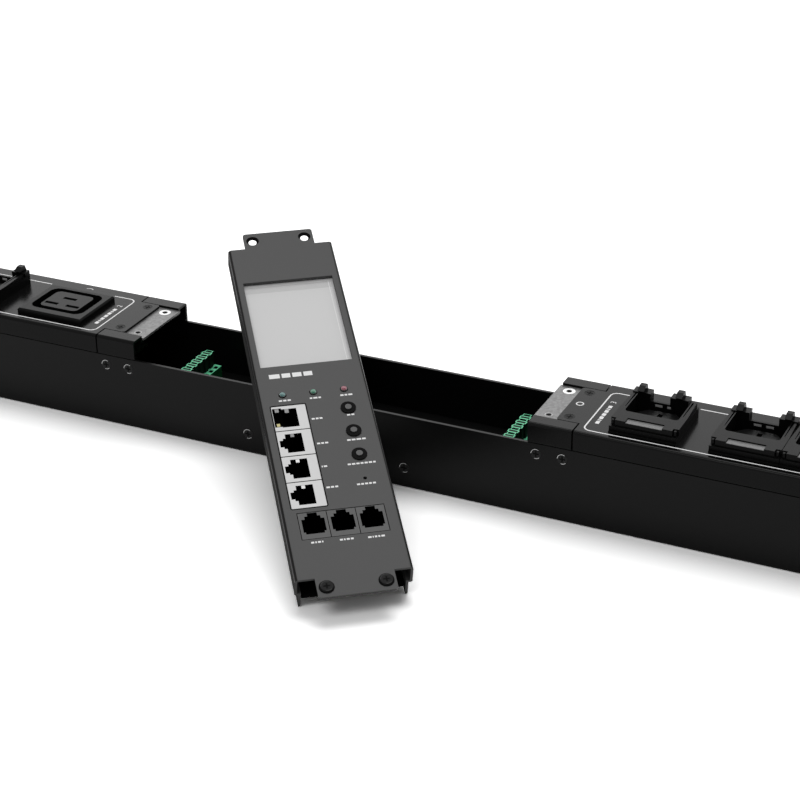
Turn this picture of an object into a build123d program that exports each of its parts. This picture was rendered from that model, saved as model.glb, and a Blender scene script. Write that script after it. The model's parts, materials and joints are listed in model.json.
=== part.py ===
from build123d import *
import os
from math import cos, radians, sin

# Rack power distribution unit, lying on its back with the outlets up.
# X runs along the unit, Y across it, Z up. The origin is on the back face at the middle of the bay.
# The metering module is out of its bay: it stands in front on its two flange tips and leans back
# against the top edge of the bay's front wall.

os.makedirs("parts", exist_ok=True)

# Case, in millimetres
case_width = 54.0
case_height = 50.0
skirt = 10.6
base_wall = 1.5
sheet = 1.2
bend_radius = 1.7
seam_radius = 0.8
flange_reach = 8.3
flange_gap = 0.3
cap_thickness = 2.0
cap_gap = 0.2

# Bay and saddles
bay_length = 218.6
saddle_length = 22.2
tongue_length = 11.2
tongue_width = 36.1
tongue_corner = 1.5
tongue_hole_inset = 6.2
recess_gap = 0.5
bridge_thickness = 1.2
bridge_overhang = 0.9
cover_gap = 0.8

# Screws
screw_radius = 1.5
screw_gap = 0.1
head_radius = 2.7
tapped_radius = 1.25
thread_gap = 0.02
tab_hole_radius = 2.05
tab_hole_spacing = 27.0
tab_hole_inset = 5.5
saddle_screw_spacing = 13.4
saddle_screw_drop = 5.5
side_screw_length = 5.0
tongue_screw_length = 3.0
module_screw_length = 5.0
oval_head_radius = 3.6
oval_head_rise = 0.9
board_head_height = 1.4
tray_screw_x = 44.0
tray_screw_z = 10.8

# Outlet row: steps along the unit, counted outwards from the covers' bay ends
outlet_row_y = -1.9
outlet_depth = 26.0
left_first_step = 33.0
right_first_step = 32.0
right_group_step = 48.7
mixed_step = 52.9
end_margin = 40.6

# C19 outlets
c19_shift = -0.7
c19_face = (39.3, 33.4)
c19_face_shift = -1.0
c19_rise = 3.0
c19_bevel = 0.8
c19_moat = (32.1, 25.6)
c19_moat_corner = 5.0
c19_insert = (23.2, 19.2)
c19_insert_corner = 3.0
c19_body = (35.0, 28.0)
c19_slot = (8.0, 2.4)
c19_pin_half = 6.5
c19_pin_drop = 4.9
c19_earth_step = 8.0
cutout_gap = 0.2

# C13 outlet and its retention frame, Y from the middle of the outlet row
frame_rim = 1.3
frame_gap = 0.3
frame_front = -18.1
frame_foot = -19.8
frame_ledge = -19.0
frame_rise = 6.7
frame_step = 3.6
frame_flange = 1.2
frame_wall = 1.4
window_size = (26.4, 20.0)
window_shift = 2.6
window_corner = 1.8
sleeve_wall = (2.1, 1.5)
back_wall_rise = 3.4
corner_notch = (2.6, 2.4)
corner_post = (1.0, 1.4)
corner_post_height = 2.7
catch_window = (4.0, 1.2)
catch_window_half_spacing = 3.0
slit_depth = 2.2
slit_front = -3.0
outer_slit_width = 0.9
inner_slit_edges = (0.5, 1.4)
inner_slit_tip = (0.9, 1.2)
horn_half_spacing = 11.7
left_inner_horn = 13.2
right_inner_horn = 7.2
horn_width = 3.2
horn_rise = 10.2
horn_taper = 1.2
horn_hook = 1.8
horn_hook_rise = 1.9
horn_base_width = 9.0
horn_base_depth = 4.0
horn_base_rise = 0.5
c13_insert = (22.8, 15.6)
c13_chamfer = 4.6
c13_slot = (2.4, 4.6)
c13_pin_half = 7.0
c13_pin_drop = 1.0
c13_earth_rise = 3.0
insert_flange = 2.0
label_size = (18.0, 4.2)
label_depth = 0.9
label_film = 0.25

# Green plug blocks
pole_pitch = 5.08
pole_count = 5
plug_top = 32.0
plug_mating = 8.0
plug_height = 18.0
plug_nose = 4.2
plug_bump = 0.7
plug_bump_shift = 1.2
plug_cell = (3.4, 1.9)
plug_shoulder = 3.4
plug_wire_entry = (2.2, 2.8)
plug_wire_depth = 4.0
plug_ear = 0.6
plug_left_inset = 21.5
plug_right_inset = 15.7
tray_end_gap = 5.3
tray_gap = 0.3

# Power path under the covers
board_thickness = 1.6
board_width = 44.0
board_end_margin = 36.0
contact_thickness = 0.8
contact_reach = 14.0
bar_width = 8.0
bar_thickness = 1.5
bar_pitch = 12.0
bar_clearance = 3.0
bar_overlap = 12.0
support_width = 6.0
support_leg = 6.0
support_arch = 8.0
terminal_size = (14.0, 36.0)
terminal_height = 14.0
terminal_inset = 26.0
terminal_well = 8.0
terminal_well_depth = 9.0

# Metering module
module_yaw = 36.7
module_lean = 19.7
module_x = 70.9
module_end_gap = 0.1
rest_gap = 0.05
tab_length = 11.1
window_side = 4.2
window_step = 19.7
window_top_inset = 25.4
lens_margin = 1.1
lens_thickness = 1.5
display_thickness = 3.5
display_gap = 0.4
holder_wall = 1.2
holder_leg = (4.0, 6.0)
holder_leg_inset = (6.2, 7.6)
board_depth = 15.2
board_side_gap = 0.4
board_end_inset = 11.2
standoff_inset = (3.6, 5.0)
standoff_radius = 2.4
face_drop = 0.1
fit_gap = 0.1

# Jacks, lamps and buttons, up the module from its lower end
small_jack_u = 0.3
small_jack_v = 30.6
small_jack_height = 15.5
small_jack_pitch = 13.5
small_jack_count = 3
small_jack_gap = 0.35
small_jack_groove = 3.0
small_jack_foot = 4.9
small_jack_steps = ((8.6, 8.8), (7.4, 10.5), (4.6, 12.4))
small_jack_main = (10.6, 7.6)
small_jack_main_rise = 1.2
jack_u = -13.5
jack_width = 16.7
jack_pitch = 16.3
jack_gap = 0.5
jack_count = 4
jack_row_gap = 3.05
jack_well = 12.0
jack_opening_edge = 3.6
jack_steps = ((8.0, 11.8), (9.3, 6.6), (11.0, 4.2))
lamp_pitch = 15.0
lamp_step = 6.9
lamp_radius = 1.5
lamp_rise = 0.5
button_u = 14.9
button_step = 2.3
button_pitch = 15.05
button_names = ("up", "down", "control")
button_radius = 1.6
button_rise = 1.1
button_travel = 0.3
button_guide_gap = 0.15
button_skirt = 0.8
reset_radius = 0.9
collar_radius = 3.7
collar_rise = 0.6
collar_neck = 3.1
collar_lip = 0.8
switch_size = 6.0
switch_height = 3.8
plunger_height = 0.6
plunger_gap = 0.05
header_width = 3.0
header_standoff = 1.6
pin_reach = 6.6
pin_size = 1.0

# Ends
gland_radius = 11.0
gland_thread_radius = 10.0
gland_thread_wall = 1.0
gland_bore_radius = 6.0
gland_flange = 4.0
gland_flange_extra = 1.5
gland_length = 9.0
gland_nut_length = 12.0
gland_nut_hex = 6.0
gland_nut_round = 3.0
gland_height = 24.0
spigot_reach = 8.0
spigot_wall = 2.0
rear_hole_radius = 2.5
rear_hole_inset = 40.0
press_nut_radius = 4.6
press_nut_height = 4.0

# Sizes that follow from the ones above
half_width = case_width / 2
half_bay = bay_length / 2
wall_height = case_height - skirt
flange_depth = skirt + flange_reach
flange_outer = half_width - base_wall - flange_gap
recess_half = tongue_width / 2 + recess_gap
saddle_end = half_bay + saddle_length
cover_start = saddle_end + cover_gap
frame_width = window_size[0] + 2 * (sleeve_wall[0] + frame_rim)
outlet_pitch = frame_width + frame_gap
c19_left = -cover_start - left_first_step
c13_left = [c19_left - mixed_step - i * outlet_pitch for i in range(3)]
c13_right = [cover_start + right_first_step]
c13_right += [c13_right[0] + right_group_step + i * outlet_pitch for i in range(2)]
c19_right = c13_right[-1] + mixed_step
c19_places = [c19_left, c19_right]
c13_places = sorted(c13_left + c13_right)
half_length = c19_right + end_margin
cover_end = half_length - cap_thickness - cap_gap
tongue_tip = saddle_end - tongue_length
saddle_screw_z = wall_height - saddle_screw_drop
head_depth = head_radius - screw_radius
outlet_bottom = case_height - outlet_depth
board_top = outlet_bottom
bottom_align = (Align.CENTER, Align.CENTER, Align.MIN)
top_align = (Align.CENTER, Align.CENTER, Align.MAX)

# The module's own frame: u across it, v up along it, and its face's normal
yaw = radians(module_yaw)
lean = radians(module_lean)
module_across = Vector(cos(yaw), sin(yaw), 0)
module_along = Vector(-sin(yaw) * cos(lean), cos(yaw) * cos(lean), sin(lean))
module_normal = module_across.cross(module_along)
contact_v = (wall_height + rest_gap) / sin(lean)
module_y = (
    -half_width
    - flange_outer * module_across.Y
    - contact_v * module_along.Y
    + flange_depth * module_normal.Y
)
module_z = flange_depth * module_normal.Z
module_face = Plane(
    origin=(module_x, module_y, module_z), x_dir=module_across, z_dir=module_normal
)
module_length = bay_length - 2 * module_end_gap


def keep(shape, name):
    """Label a finished piece and write its file."""
    shape.label = name
    export_step(shape, "parts/" + name + ".step")


def cross_plane(x, y=0.0, z=0.0):
    """A plane across the unit at the given point: its own x is Y and its own y is Z."""
    return Plane(origin=(x, y, z), x_dir=(0, 1, 0), z_dir=(1, 0, 0))


def lid_section(plane, step_half=0.0):
    """Sketch the folded lid: top, skirts, joggles and inner flanges, with a centre step if asked."""
    inner = half_width - sheet
    flange_inner = flange_outer - sheet
    points = [(step_half, 0), (half_width, 0), (half_width, -skirt), (flange_outer, -skirt)]
    points += [(flange_outer, -flange_depth), (flange_inner, -flange_depth)]
    points += [(flange_inner, sheet - skirt), (inner, sheet - skirt), (inner, -sheet)]
    if step_half:
        floor_drop = sheet + bridge_thickness
        points += [(step_half + sheet, -sheet), (step_half + sheet, -floor_drop - sheet)]
        points += [(0, -floor_drop - sheet), (0, -floor_drop), (step_half, -floor_drop)]
    else:
        points += [(0, -sheet)]
    with BuildSketch(plane) as section:
        with BuildLine():
            Polyline(*points, close=True)
        make_face()
        mirror(about=Plane.YZ)
        side_corners = section.vertices().filter_by(lambda corner: abs(corner.X) > half_width - fit_gap)
        fillet(side_corners.group_by(Axis.Y)[-1], bend_radius)
        side_corners = section.vertices().filter_by(lambda corner: abs(corner.X) > half_width - fit_gap)
        fillet(side_corners.group_by(Axis.Y)[0], seam_radius)
    return section.sketch


def top_plane(height=case_height):
    """A plane level with the floor at the given height."""
    return Plane.XY.offset(height)


def wall_spot(side, x, z):
    """A point on the outside of a base wall, facing out: side is -1 in front and 1 behind."""
    return Plane(origin=(x, side * half_width, z), x_dir=(1, 0, 0), z_dir=(0, side, 0))


def countersunk_screw(spot, length, shank_radius=screw_radius):
    """A countersunk screw whose head is flush with the plane it is put on."""
    with Locations(spot):
        Cone(head_radius - sheet, head_radius, sheet, align=top_align)
        Cylinder(shank_radius, length, align=top_align)


saddle_centre = half_bay + saddle_length / 2
saddle_screw_x = [
    side * (saddle_centre + shift)
    for side in (-1, 1)
    for shift in (-saddle_screw_spacing / 2, saddle_screw_spacing / 2)
]
tab_screw_x = half_bay - module_end_gap + tab_hole_inset
tongue_screw_x = saddle_end - tongue_hole_inset
rear_hole_x = half_length - rear_hole_inset

# Base channel, folded from sheet, with the screw holes of the saddles and the bay tray
with BuildPart() as base_channel:
    with BuildSketch(Plane.YZ.offset(-half_length + cap_thickness)) as channel_section:
        with BuildLine():
            Polyline(
                (-half_width, wall_height),
                (-half_width, 0),
                (half_width, 0),
                (half_width, wall_height),
                (half_width - base_wall, wall_height),
                (half_width - base_wall, base_wall),
                (base_wall - half_width, base_wall),
                (base_wall - half_width, wall_height),
                close=True,
            )
        make_face()
        foot_corners = channel_section.vertices().group_by(Axis.Y)[0]
        fillet(foot_corners, bend_radius / 2)
    extrude(amount=2 * (half_length - cap_thickness))
    for side in (-1, 1):
        with Locations(*[wall_spot(side, x, saddle_screw_z) for x in saddle_screw_x]):
            CounterSinkHole(
                screw_radius + screw_gap, head_radius + screw_gap, depth=2 * base_wall, counter_sink_angle=90
            )
        with Locations(*[wall_spot(side, x, tray_screw_z) for x in (-tray_screw_x, tray_screw_x)]):
            CounterSinkHole(
                screw_radius + screw_gap, head_radius + screw_gap, depth=2 * base_wall, counter_sink_angle=90
            )
    with BuildSketch(Plane.XY):
        with Locations((-rear_hole_x, 0), (rear_hole_x, 0)):
            Circle(rear_hole_radius)
    extrude(amount=base_wall, mode=Mode.SUBTRACT)
keep(base_channel.part, "base_channel")

# Covers, one each side of the bay, cut out for their outlets
c13_cutout = (
    window_size[0] + 2 * (sleeve_wall[0] + cutout_gap),
    window_size[1] + 2 * (sleeve_wall[1] + cutout_gap),
)
c19_cutout = (c19_body[0] + 2 * cutout_gap, c19_body[1] + 2 * cutout_gap)
window_y = outlet_row_y + window_shift
c19_row_y = outlet_row_y + c19_shift

for side, name in ((-1, "cover_left"), (1, "cover_right")):
    low_x = min(side * cover_start, side * cover_end)
    with BuildPart() as cover:
        cover_section = lid_section(cross_plane(low_x, 0, case_height))
        extrude(cover_section, amount=cover_end - cover_start)
        tongue_root = cover_start + 2 * tongue_corner
        with BuildSketch(top_plane()):
            with Locations((side * (tongue_tip + tongue_root) / 2, 0)):
                RectangleRounded(tongue_root - tongue_tip, tongue_width, tongue_corner)
        extrude(amount=-sheet)
        with Locations(
            *[(side * tongue_screw_x, y, case_height) for y in (-tab_hole_spacing / 2, tab_hole_spacing / 2)]
        ):
            CounterSinkHole(screw_radius, head_radius, depth=2 * sheet, counter_sink_angle=90)
        with BuildSketch(top_plane()):
            with Locations(*[(x, window_y) for x in c13_places if x * side > 0]):
                Rectangle(*c13_cutout)
            with Locations(*[(x, c19_row_y) for x in c19_places if x * side > 0]):
                Rectangle(*c19_cutout)
        extrude(amount=-2 * sheet, mode=Mode.SUBTRACT)
    keep(cover.part, name)

# Saddles, with their bare bridge plates set in the centre step
for side, name in ((-1, "left"), (1, "right")):
    low_x = half_bay if side > 0 else -saddle_end
    with BuildPart() as saddle:
        saddle_section = lid_section(cross_plane(low_x, 0, case_height), step_half=recess_half)
        extrude(saddle_section, amount=saddle_length)
        with BuildSketch(top_plane(wall_height)):
            for x in (tab_screw_x, tongue_screw_x):
                with Locations(
                    (side * x, -tab_hole_spacing / 2), (side * x, tab_hole_spacing / 2)
                ):
                    Circle(screw_radius + screw_gap)
        extrude(amount=skirt, mode=Mode.SUBTRACT)
        for wall in (-1, 1):
            for x in saddle_screw_x:
                if x * side > 0:
                    with Locations(wall_spot(wall, x, saddle_screw_z)):
                        Hole(tapped_radius, depth=base_wall + flange_gap + 2 * sheet)
    keep(saddle.part, "saddle_" + name)

    bridge_top = case_height - sheet
    bridge_inner = half_bay - bridge_overhang
    with BuildPart() as bridge:
        with BuildSketch(top_plane(bridge_top)):
            with Locations((side * (bridge_inner + saddle_end) / 2, 0)):
                Rectangle(saddle_end - bridge_inner, 2 * (recess_half - fit_gap))
        extrude(amount=-bridge_thickness)
        with BuildSketch(top_plane(bridge_top)):
            for x in (tab_screw_x, tongue_screw_x):
                with Locations(
                    (side * x, -tab_hole_spacing / 2), (side * x, tab_hole_spacing / 2)
                ):
                    Circle(tapped_radius)
        extrude(amount=-bridge_thickness, mode=Mode.SUBTRACT)
    keep(bridge.part, "bridge_plate_" + name)


def c19_slots():
    """Places of the C19 contact slots: line and neutral in front, earth behind."""
    pins = c19_row_y - c19_pin_drop
    return [(-c19_pin_half, pins), (c19_pin_half, pins), (0, pins + c19_earth_step)]


def c13_slots():
    """Places of the C13 contact slots: line and neutral, and earth behind them."""
    return [
        (-c13_pin_half, window_y - c13_pin_drop),
        (c13_pin_half, window_y - c13_pin_drop),
        (0, window_y + c13_earth_rise),
    ]


# C19 outlets: a housing with a bevelled face, and a contact insert standing in its moat
with BuildPart() as c19_inserts:
    for x in c19_places:
        with BuildSketch(top_plane(outlet_bottom)):
            with Locations((x, c19_row_y)):
                RectangleRounded(*c19_insert, c19_insert_corner)
        extrude(amount=outlet_depth + c19_rise)
        with BuildSketch(top_plane(outlet_bottom)):
            with Locations((x, c19_row_y)):
                Rectangle(*c19_body)
        extrude(amount=insert_flange)
        with BuildSketch(top_plane(outlet_bottom)):
            with Locations(*[(x + slot_x, slot_y) for slot_x, slot_y in c19_slots()]):
                Rectangle(*c19_slot)
        extrude(amount=outlet_depth + c19_rise, mode=Mode.SUBTRACT)
keep(c19_inserts.part, "c19_inserts")

for number, x in enumerate(c19_places, start=1):
    with BuildPart() as housing:
        with BuildSketch(top_plane()):
            with Locations((x, c19_row_y + c19_face_shift)):
                Rectangle(*c19_face)
        extrude(amount=c19_rise)
        chamfer(housing.edges().group_by(Axis.Z)[-1], c19_bevel)
        with BuildSketch(top_plane(outlet_bottom + insert_flange)):
            with Locations((x, c19_row_y)):
                Rectangle(*c19_body)
        extrude(amount=outlet_depth - insert_flange)
        with BuildSketch(top_plane(outlet_bottom + insert_flange)):
            with Locations((x, c19_row_y)):
                RectangleRounded(*c19_moat, c19_moat_corner)
        extrude(amount=outlet_depth + c19_rise, mode=Mode.SUBTRACT)
    keep(housing.part, "c19_housing_" + str(number))


def front_bar(origin):
    """The frame's stepped front bar, drawn across the unit and run along it."""
    window_front = window_shift - window_size[1] / 2
    bar_plane = cross_plane(origin.X - frame_width / 2, origin.Y, origin.Z)
    with BuildSketch(bar_plane) as bar_section:
        with BuildLine():
            Polyline(
                (frame_foot, 0),
                (frame_foot, frame_flange),
                (frame_ledge, frame_flange),
                (frame_ledge, frame_step),
                (frame_front, frame_step),
                (frame_front, frame_rise),
                (window_front, frame_rise),
                (window_front, 0),
                close=True,
            )
        make_face()
    extrude(bar_section.sketch, amount=frame_width)


def horn(origin, x):
    """One back horn: a ledge each side and a hooked post that grips the plug."""
    back = window_shift + window_size[1] / 2 + frame_wall
    base_start = x - horn_base_width / 2
    base_end = min(x + horn_base_width / 2, frame_width / 2)
    with BuildSketch(cross_plane(origin.X + base_start, origin.Y, origin.Z)) as ledge:
        with Locations((back - frame_wall, 0)):
            Rectangle(
                frame_wall + horn_base_depth,
                frame_rise + horn_base_rise,
                align=(Align.MIN, Align.MIN),
            )
    extrude(ledge.sketch, amount=base_end - base_start)
    post_x = origin.X + x - horn_width / 2
    with BuildSketch(cross_plane(post_x, origin.Y, origin.Z)) as post:
        with BuildLine():
            Polyline(
                (back - frame_wall, frame_step),
                (back + horn_base_depth, frame_step),
                (back + horn_base_depth, frame_rise),
                (back + horn_base_depth - horn_taper, horn_rise),
                (back, horn_rise),
                (back - frame_wall - horn_hook, frame_rise + horn_hook_rise),
                (back - frame_wall, frame_rise + horn_base_rise),
                close=True,
            )
        make_face()
    extrude(post.sketch, amount=horn_width)


def arm_slits(origin):
    """Long tapered slits that let the side arms flex."""
    arm_inner = window_size[0] / 2
    arm_outer = frame_width / 2
    back = window_shift + window_size[1] / 2
    with BuildSketch(Plane(origin=(origin.X, origin.Y, origin.Z + frame_rise))) as slits:
        with BuildLine():
            Polyline(
                (arm_outer, frame_wall + back),
                (arm_outer - outer_slit_width, frame_wall + back),
                (arm_outer, slit_front - outer_slit_width),
                close=True,
            )
        make_face()
        with BuildLine():
            Polyline(
                (arm_inner + inner_slit_edges[1], back),
                (arm_inner + inner_slit_edges[0], back),
                (arm_inner + inner_slit_tip[0], slit_front),
                (arm_inner + inner_slit_tip[1], slit_front),
                close=True,
            )
        make_face()
        mirror(about=Plane.YZ)
    extrude(slits.sketch, amount=-slit_depth, mode=Mode.SUBTRACT)


def window_outline(plane):
    """Sketch the frame's window, with its two front corners rounded."""
    with BuildSketch(plane) as window:
        with Locations((0, window_shift)):
            Rectangle(*window_size)
        fillet(window.vertices().group_by(Axis.Y)[0], window_corner)
    return window.sketch


def retention_frame(x, right_horn):
    """Build the tall frame round a C13 outlet, with the sleeve that goes through the cover."""
    origin = Vector(x, outlet_row_y, case_height)
    back = window_shift + window_size[1] / 2 + frame_wall
    window_front = window_shift - window_size[1] / 2
    sleeve = (window_size[0] + 2 * sleeve_wall[0], window_size[1] + 2 * sleeve_wall[1])
    post_x = (frame_width - corner_notch[0]) / 2
    post_y = frame_front + corner_notch[1] / 2
    back_face = Plane(origin=origin + Vector(0, back, 0), x_dir=(1, 0, 0), z_dir=(0, -1, 0))
    with BuildPart() as frame:
        front_bar(origin)
        with BuildSketch(Plane(origin=origin)):
            with Locations((0, window_front)):
                Rectangle(frame_width, back - window_front, align=(Align.CENTER, Align.MIN))
        extrude(amount=frame_rise)
        with BuildSketch(Plane(origin=origin)):
            with Locations((0, window_shift)):
                Rectangle(*sleeve)
        extrude(amount=insert_flange - outlet_depth)
        window = window_outline(Plane(origin=origin + Vector(0, 0, frame_rise)))
        extrude(window, amount=-frame_rise - outlet_depth, mode=Mode.SUBTRACT)
        with BuildSketch(Plane(origin=origin + Vector(0, 0, back_wall_rise))):
            with Locations((0, back)):
                Rectangle(window_size[0], 2 * frame_wall)
        extrude(amount=frame_rise, mode=Mode.SUBTRACT)
        for horn_x in (-horn_half_spacing, right_horn):
            horn(origin, horn_x)
        arm_slits(origin)
        with BuildSketch(Plane(origin=origin + Vector(0, 0, frame_rise))):
            with Locations((0, frame_front)):
                Rectangle(*label_size, align=(Align.CENTER, Align.MIN))
        extrude(amount=-label_depth, mode=Mode.SUBTRACT)
        with BuildSketch(Plane(origin=origin + Vector(0, 0, frame_step))):
            with Locations((-frame_width / 2, frame_front), (frame_width / 2, frame_front)):
                Rectangle(2 * corner_notch[0], 2 * corner_notch[1])
        extrude(amount=frame_rise, mode=Mode.SUBTRACT)
        with BuildSketch(Plane(origin=origin + Vector(0, 0, frame_step))):
            for corner_side in (-1, 1):
                with Locations((corner_side * post_x, post_y)):
                    Rectangle(*corner_post)
        extrude(amount=corner_post_height)
        with BuildSketch(back_face):
            for catch_side in (-1, 1):
                with Locations((catch_side * catch_window_half_spacing, back_wall_rise / 2)):
                    Rectangle(*catch_window)
        extrude(amount=frame_wall, mode=Mode.SUBTRACT)
    return frame.part


for number, x in enumerate(c13_places, start=1):
    right_horn = horn_half_spacing
    if x == c13_left[0]:
        right_horn = left_inner_horn
    if x == c13_right[0]:
        right_horn = right_inner_horn
    keep(retention_frame(x, right_horn), "retention_frame_" + str(number))

    with BuildPart() as insert:
        with BuildSketch(top_plane(outlet_bottom)) as insert_outline:
            with Locations((x, window_y)):
                Rectangle(*c13_insert)
            chamfer(insert_outline.vertices().group_by(Axis.Y)[-1], c13_chamfer)
        extrude(amount=outlet_depth)
        with BuildSketch(top_plane(outlet_bottom)):
            with Locations((x, window_y)):
                Rectangle(
                    window_size[0] + 2 * sleeve_wall[0], window_size[1] + 2 * sleeve_wall[1]
                )
        extrude(amount=insert_flange)
        with BuildSketch(top_plane(outlet_bottom)):
            with Locations(*[(x + slot_x, slot_y) for slot_x, slot_y in c13_slots()]):
                Rectangle(*c13_slot)
        extrude(amount=outlet_depth, mode=Mode.SUBTRACT)
    keep(insert.part, "c13_insert_" + str(number))

# Label strips in the frames' front recesses
with BuildPart() as label_strips:
    with BuildSketch(top_plane(case_height + frame_rise - label_depth)):
        with Locations(*[(x, outlet_row_y + frame_front + label_size[1] / 2) for x in c13_places]):
            Rectangle(label_size[0] - 2 * fit_gap, label_size[1] - 2 * fit_gap)
    extrude(amount=label_film)
keep(label_strips.part, "label_strips")

# Power boards that the outlets stand on, on each side of the bay
board_start = cover_start
board_end = half_length - board_end_margin
with BuildPart() as power_boards:
    with BuildSketch(top_plane(board_top)):
        for side in (-1, 1):
            with Locations((side * (board_start + board_end) / 2, 0)):
                Rectangle(board_end - board_start, board_width)
    extrude(amount=-board_thickness)
keep(power_boards.part, "power_boards")

# Spring contacts, one in each outlet slot, standing on the boards
with BuildPart() as outlet_contacts:
    with BuildSketch(top_plane(board_top)):
        with Locations(*[(x + px, py) for x in c19_places for px, py in c19_slots()]):
            Rectangle(c19_slot[0] - 4 * fit_gap, contact_thickness)
        with Locations(*[(x + px, py) for x in c13_places for px, py in c13_slots()]):
            Rectangle(contact_thickness, c13_slot[1] - 4 * fit_gap)
    extrude(amount=contact_reach)
keep(outlet_contacts.part, "outlet_contacts")

# Moulded feet that carry the boards
support_x = [side * (board_start + f * (board_end - board_start)) for side in (-1, 1) for f in (0.12, 0.88)]
with BuildPart() as board_supports:
    with BuildSketch(top_plane(base_wall)):
        with Locations(*[(x, 0) for x in support_x]):
            Rectangle(support_width, board_width)
    extrude(amount=board_top - board_thickness - base_wall)
    with BuildSketch(top_plane(base_wall)):
        with Locations(*[(x, 0) for x in support_x]):
            Rectangle(support_width, board_width - 2 * support_leg)
    extrude(amount=support_arch, mode=Mode.SUBTRACT)
keep(board_supports.part, "board_supports")

# Bars that join the boards' line, neutral and earth rails, running under the bay tray
bar_end = board_start + bar_overlap
bar_top = base_wall + bar_clearance + bar_thickness
with BuildPart() as link_bars:
    with BuildSketch(top_plane(bar_top)):
        with Locations((0, -bar_pitch), (0, 0), (0, bar_pitch)):
            Rectangle(2 * bar_end, bar_width)
    extrude(amount=-bar_thickness)
    with BuildSketch(top_plane(bar_top)):
        for side in (-1, 1):
            with Locations(*[(side * (bar_end - bar_width / 2), y) for y in (-bar_pitch, 0, bar_pitch)]):
                Rectangle(bar_width, bar_width / 2)
    extrude(amount=board_top - board_thickness - bar_top)
keep(link_bars.part, "link_bars")

# Tray that carries the plug blocks, screwed through the base walls
tray_top = plug_top - plug_height
tray_outer = half_width - base_wall - tray_gap
tray_length = bay_length - 2 * tray_end_gap
with BuildPart() as bay_tray:
    with BuildSketch(Plane.YZ.offset(-tray_length / 2)):
        with BuildLine():
            Polyline(
                (-tray_outer, base_wall),
                (-tray_outer, tray_top),
                (tray_outer, tray_top),
                (tray_outer, base_wall),
                (tray_outer - sheet, base_wall),
                (tray_outer - sheet, tray_top - sheet),
                (sheet - tray_outer, tray_top - sheet),
                (sheet - tray_outer, base_wall),
                close=True,
            )
        make_face()
    extrude(amount=tray_length)
    for side in (-1, 1):
        with Locations(*[wall_spot(side, x, tray_screw_z) for x in (-tray_screw_x, tray_screw_x)]):
            Hole(tapped_radius, depth=base_wall + tray_gap + 2 * sheet)
keep(bay_tray.part, "bay_tray")


def plug_block(centre_x):
    """A five-pole plug, mating face up, with castellated sides and its wire side towards +X."""
    block_length = pole_count * pole_pitch
    body_length = block_length + 2 * plug_ear
    body_height = plug_height - plug_mating
    nose_half = plug_nose / 2 + plug_bump
    pole_y = [(i - (pole_count - 1) / 2) * pole_pitch for i in range(pole_count)]
    with BuildPart() as plug:
        with BuildSketch(top_plane(plug_top)):
            with Locations((centre_x, 0)):
                Rectangle(plug_nose, block_length)
            with Locations(*[(centre_x, y - plug_bump_shift) for y in pole_y]):
                Rectangle(2 * nose_half, pole_pitch / 2)
        extrude(amount=-plug_mating)
        with BuildSketch(top_plane(plug_top - plug_mating)):
            with Locations((centre_x - nose_half, 0)):
                Rectangle(
                    2 * nose_half + plug_shoulder, body_length, align=(Align.MIN, Align.CENTER)
                )
        extrude(amount=-body_height)
        with BuildSketch(top_plane(plug_top)):
            with Locations(*[(centre_x, y + plug_bump_shift) for y in pole_y]):
                Rectangle(*plug_cell)
        extrude(amount=-plug_mating, mode=Mode.SUBTRACT)
        with BuildSketch(top_plane(plug_top - plug_mating)):
            with Locations(*[(centre_x + nose_half + plug_shoulder / 2, y) for y in pole_y]):
                Rectangle(*plug_wire_entry)
        extrude(amount=-plug_wire_depth, mode=Mode.SUBTRACT)
    return plug.part


plug_left_x = plug_left_inset - half_bay
plug_right_x = half_bay - plug_right_inset
keep(plug_block(plug_left_x), "plug_block_left")
keep(plug_block(plug_right_x), "plug_block_right")

# Inlet terminals just inside the left end
with BuildPart() as inlet_terminals:
    with BuildSketch(top_plane(base_wall)):
        with Locations((terminal_inset - half_length, 0)):
            Rectangle(*terminal_size)
    extrude(amount=terminal_height)
    with BuildSketch(top_plane(base_wall + terminal_height)):
        with Locations(*[(terminal_inset - half_length, y) for y in (-bar_pitch, 0, bar_pitch)]):
            Rectangle(terminal_well, terminal_well)
    extrude(amount=-terminal_well_depth, mode=Mode.SUBTRACT)
keep(inlet_terminals.part, "inlet_terminals")

# End caps: a plate over the whole section with a spigot inside the base, gland hole on the left
spigot_half = half_width - base_wall - cap_gap
spigot_height = case_height - flange_depth - base_wall - 2 * cap_gap
for side, name in ((-1, "end_cap_left"), (1, "end_cap_right")):
    outer_x = side * half_length
    cap_plane = Plane(origin=(outer_x, 0, 0), x_dir=(0, 1, 0), z_dir=(1, 0, 0))
    with BuildPart() as cap:
        with BuildSketch(cap_plane) as cap_outline:
            Rectangle(case_width, case_height, align=(Align.CENTER, Align.MIN))
            fillet(cap_outline.vertices(), bend_radius)
        extrude(amount=-side * cap_thickness)
        with BuildSketch(cap_plane.offset(-side * cap_thickness)):
            with Locations((0, base_wall + cap_gap)):
                Rectangle(2 * spigot_half, spigot_height, align=(Align.CENTER, Align.MIN))
            with Locations((0, base_wall + cap_gap + spigot_wall)):
                Rectangle(
                    2 * (spigot_half - spigot_wall),
                    spigot_height,
                    align=(Align.CENTER, Align.MIN),
                    mode=Mode.SUBTRACT,
                )
        extrude(amount=-side * spigot_reach)
        if side < 0:
            with BuildSketch(cap_plane):
                with Locations((0, gland_height)):
                    Circle(gland_thread_radius)
            extrude(amount=cap_thickness, mode=Mode.SUBTRACT)
    keep(cap.part, name)

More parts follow.
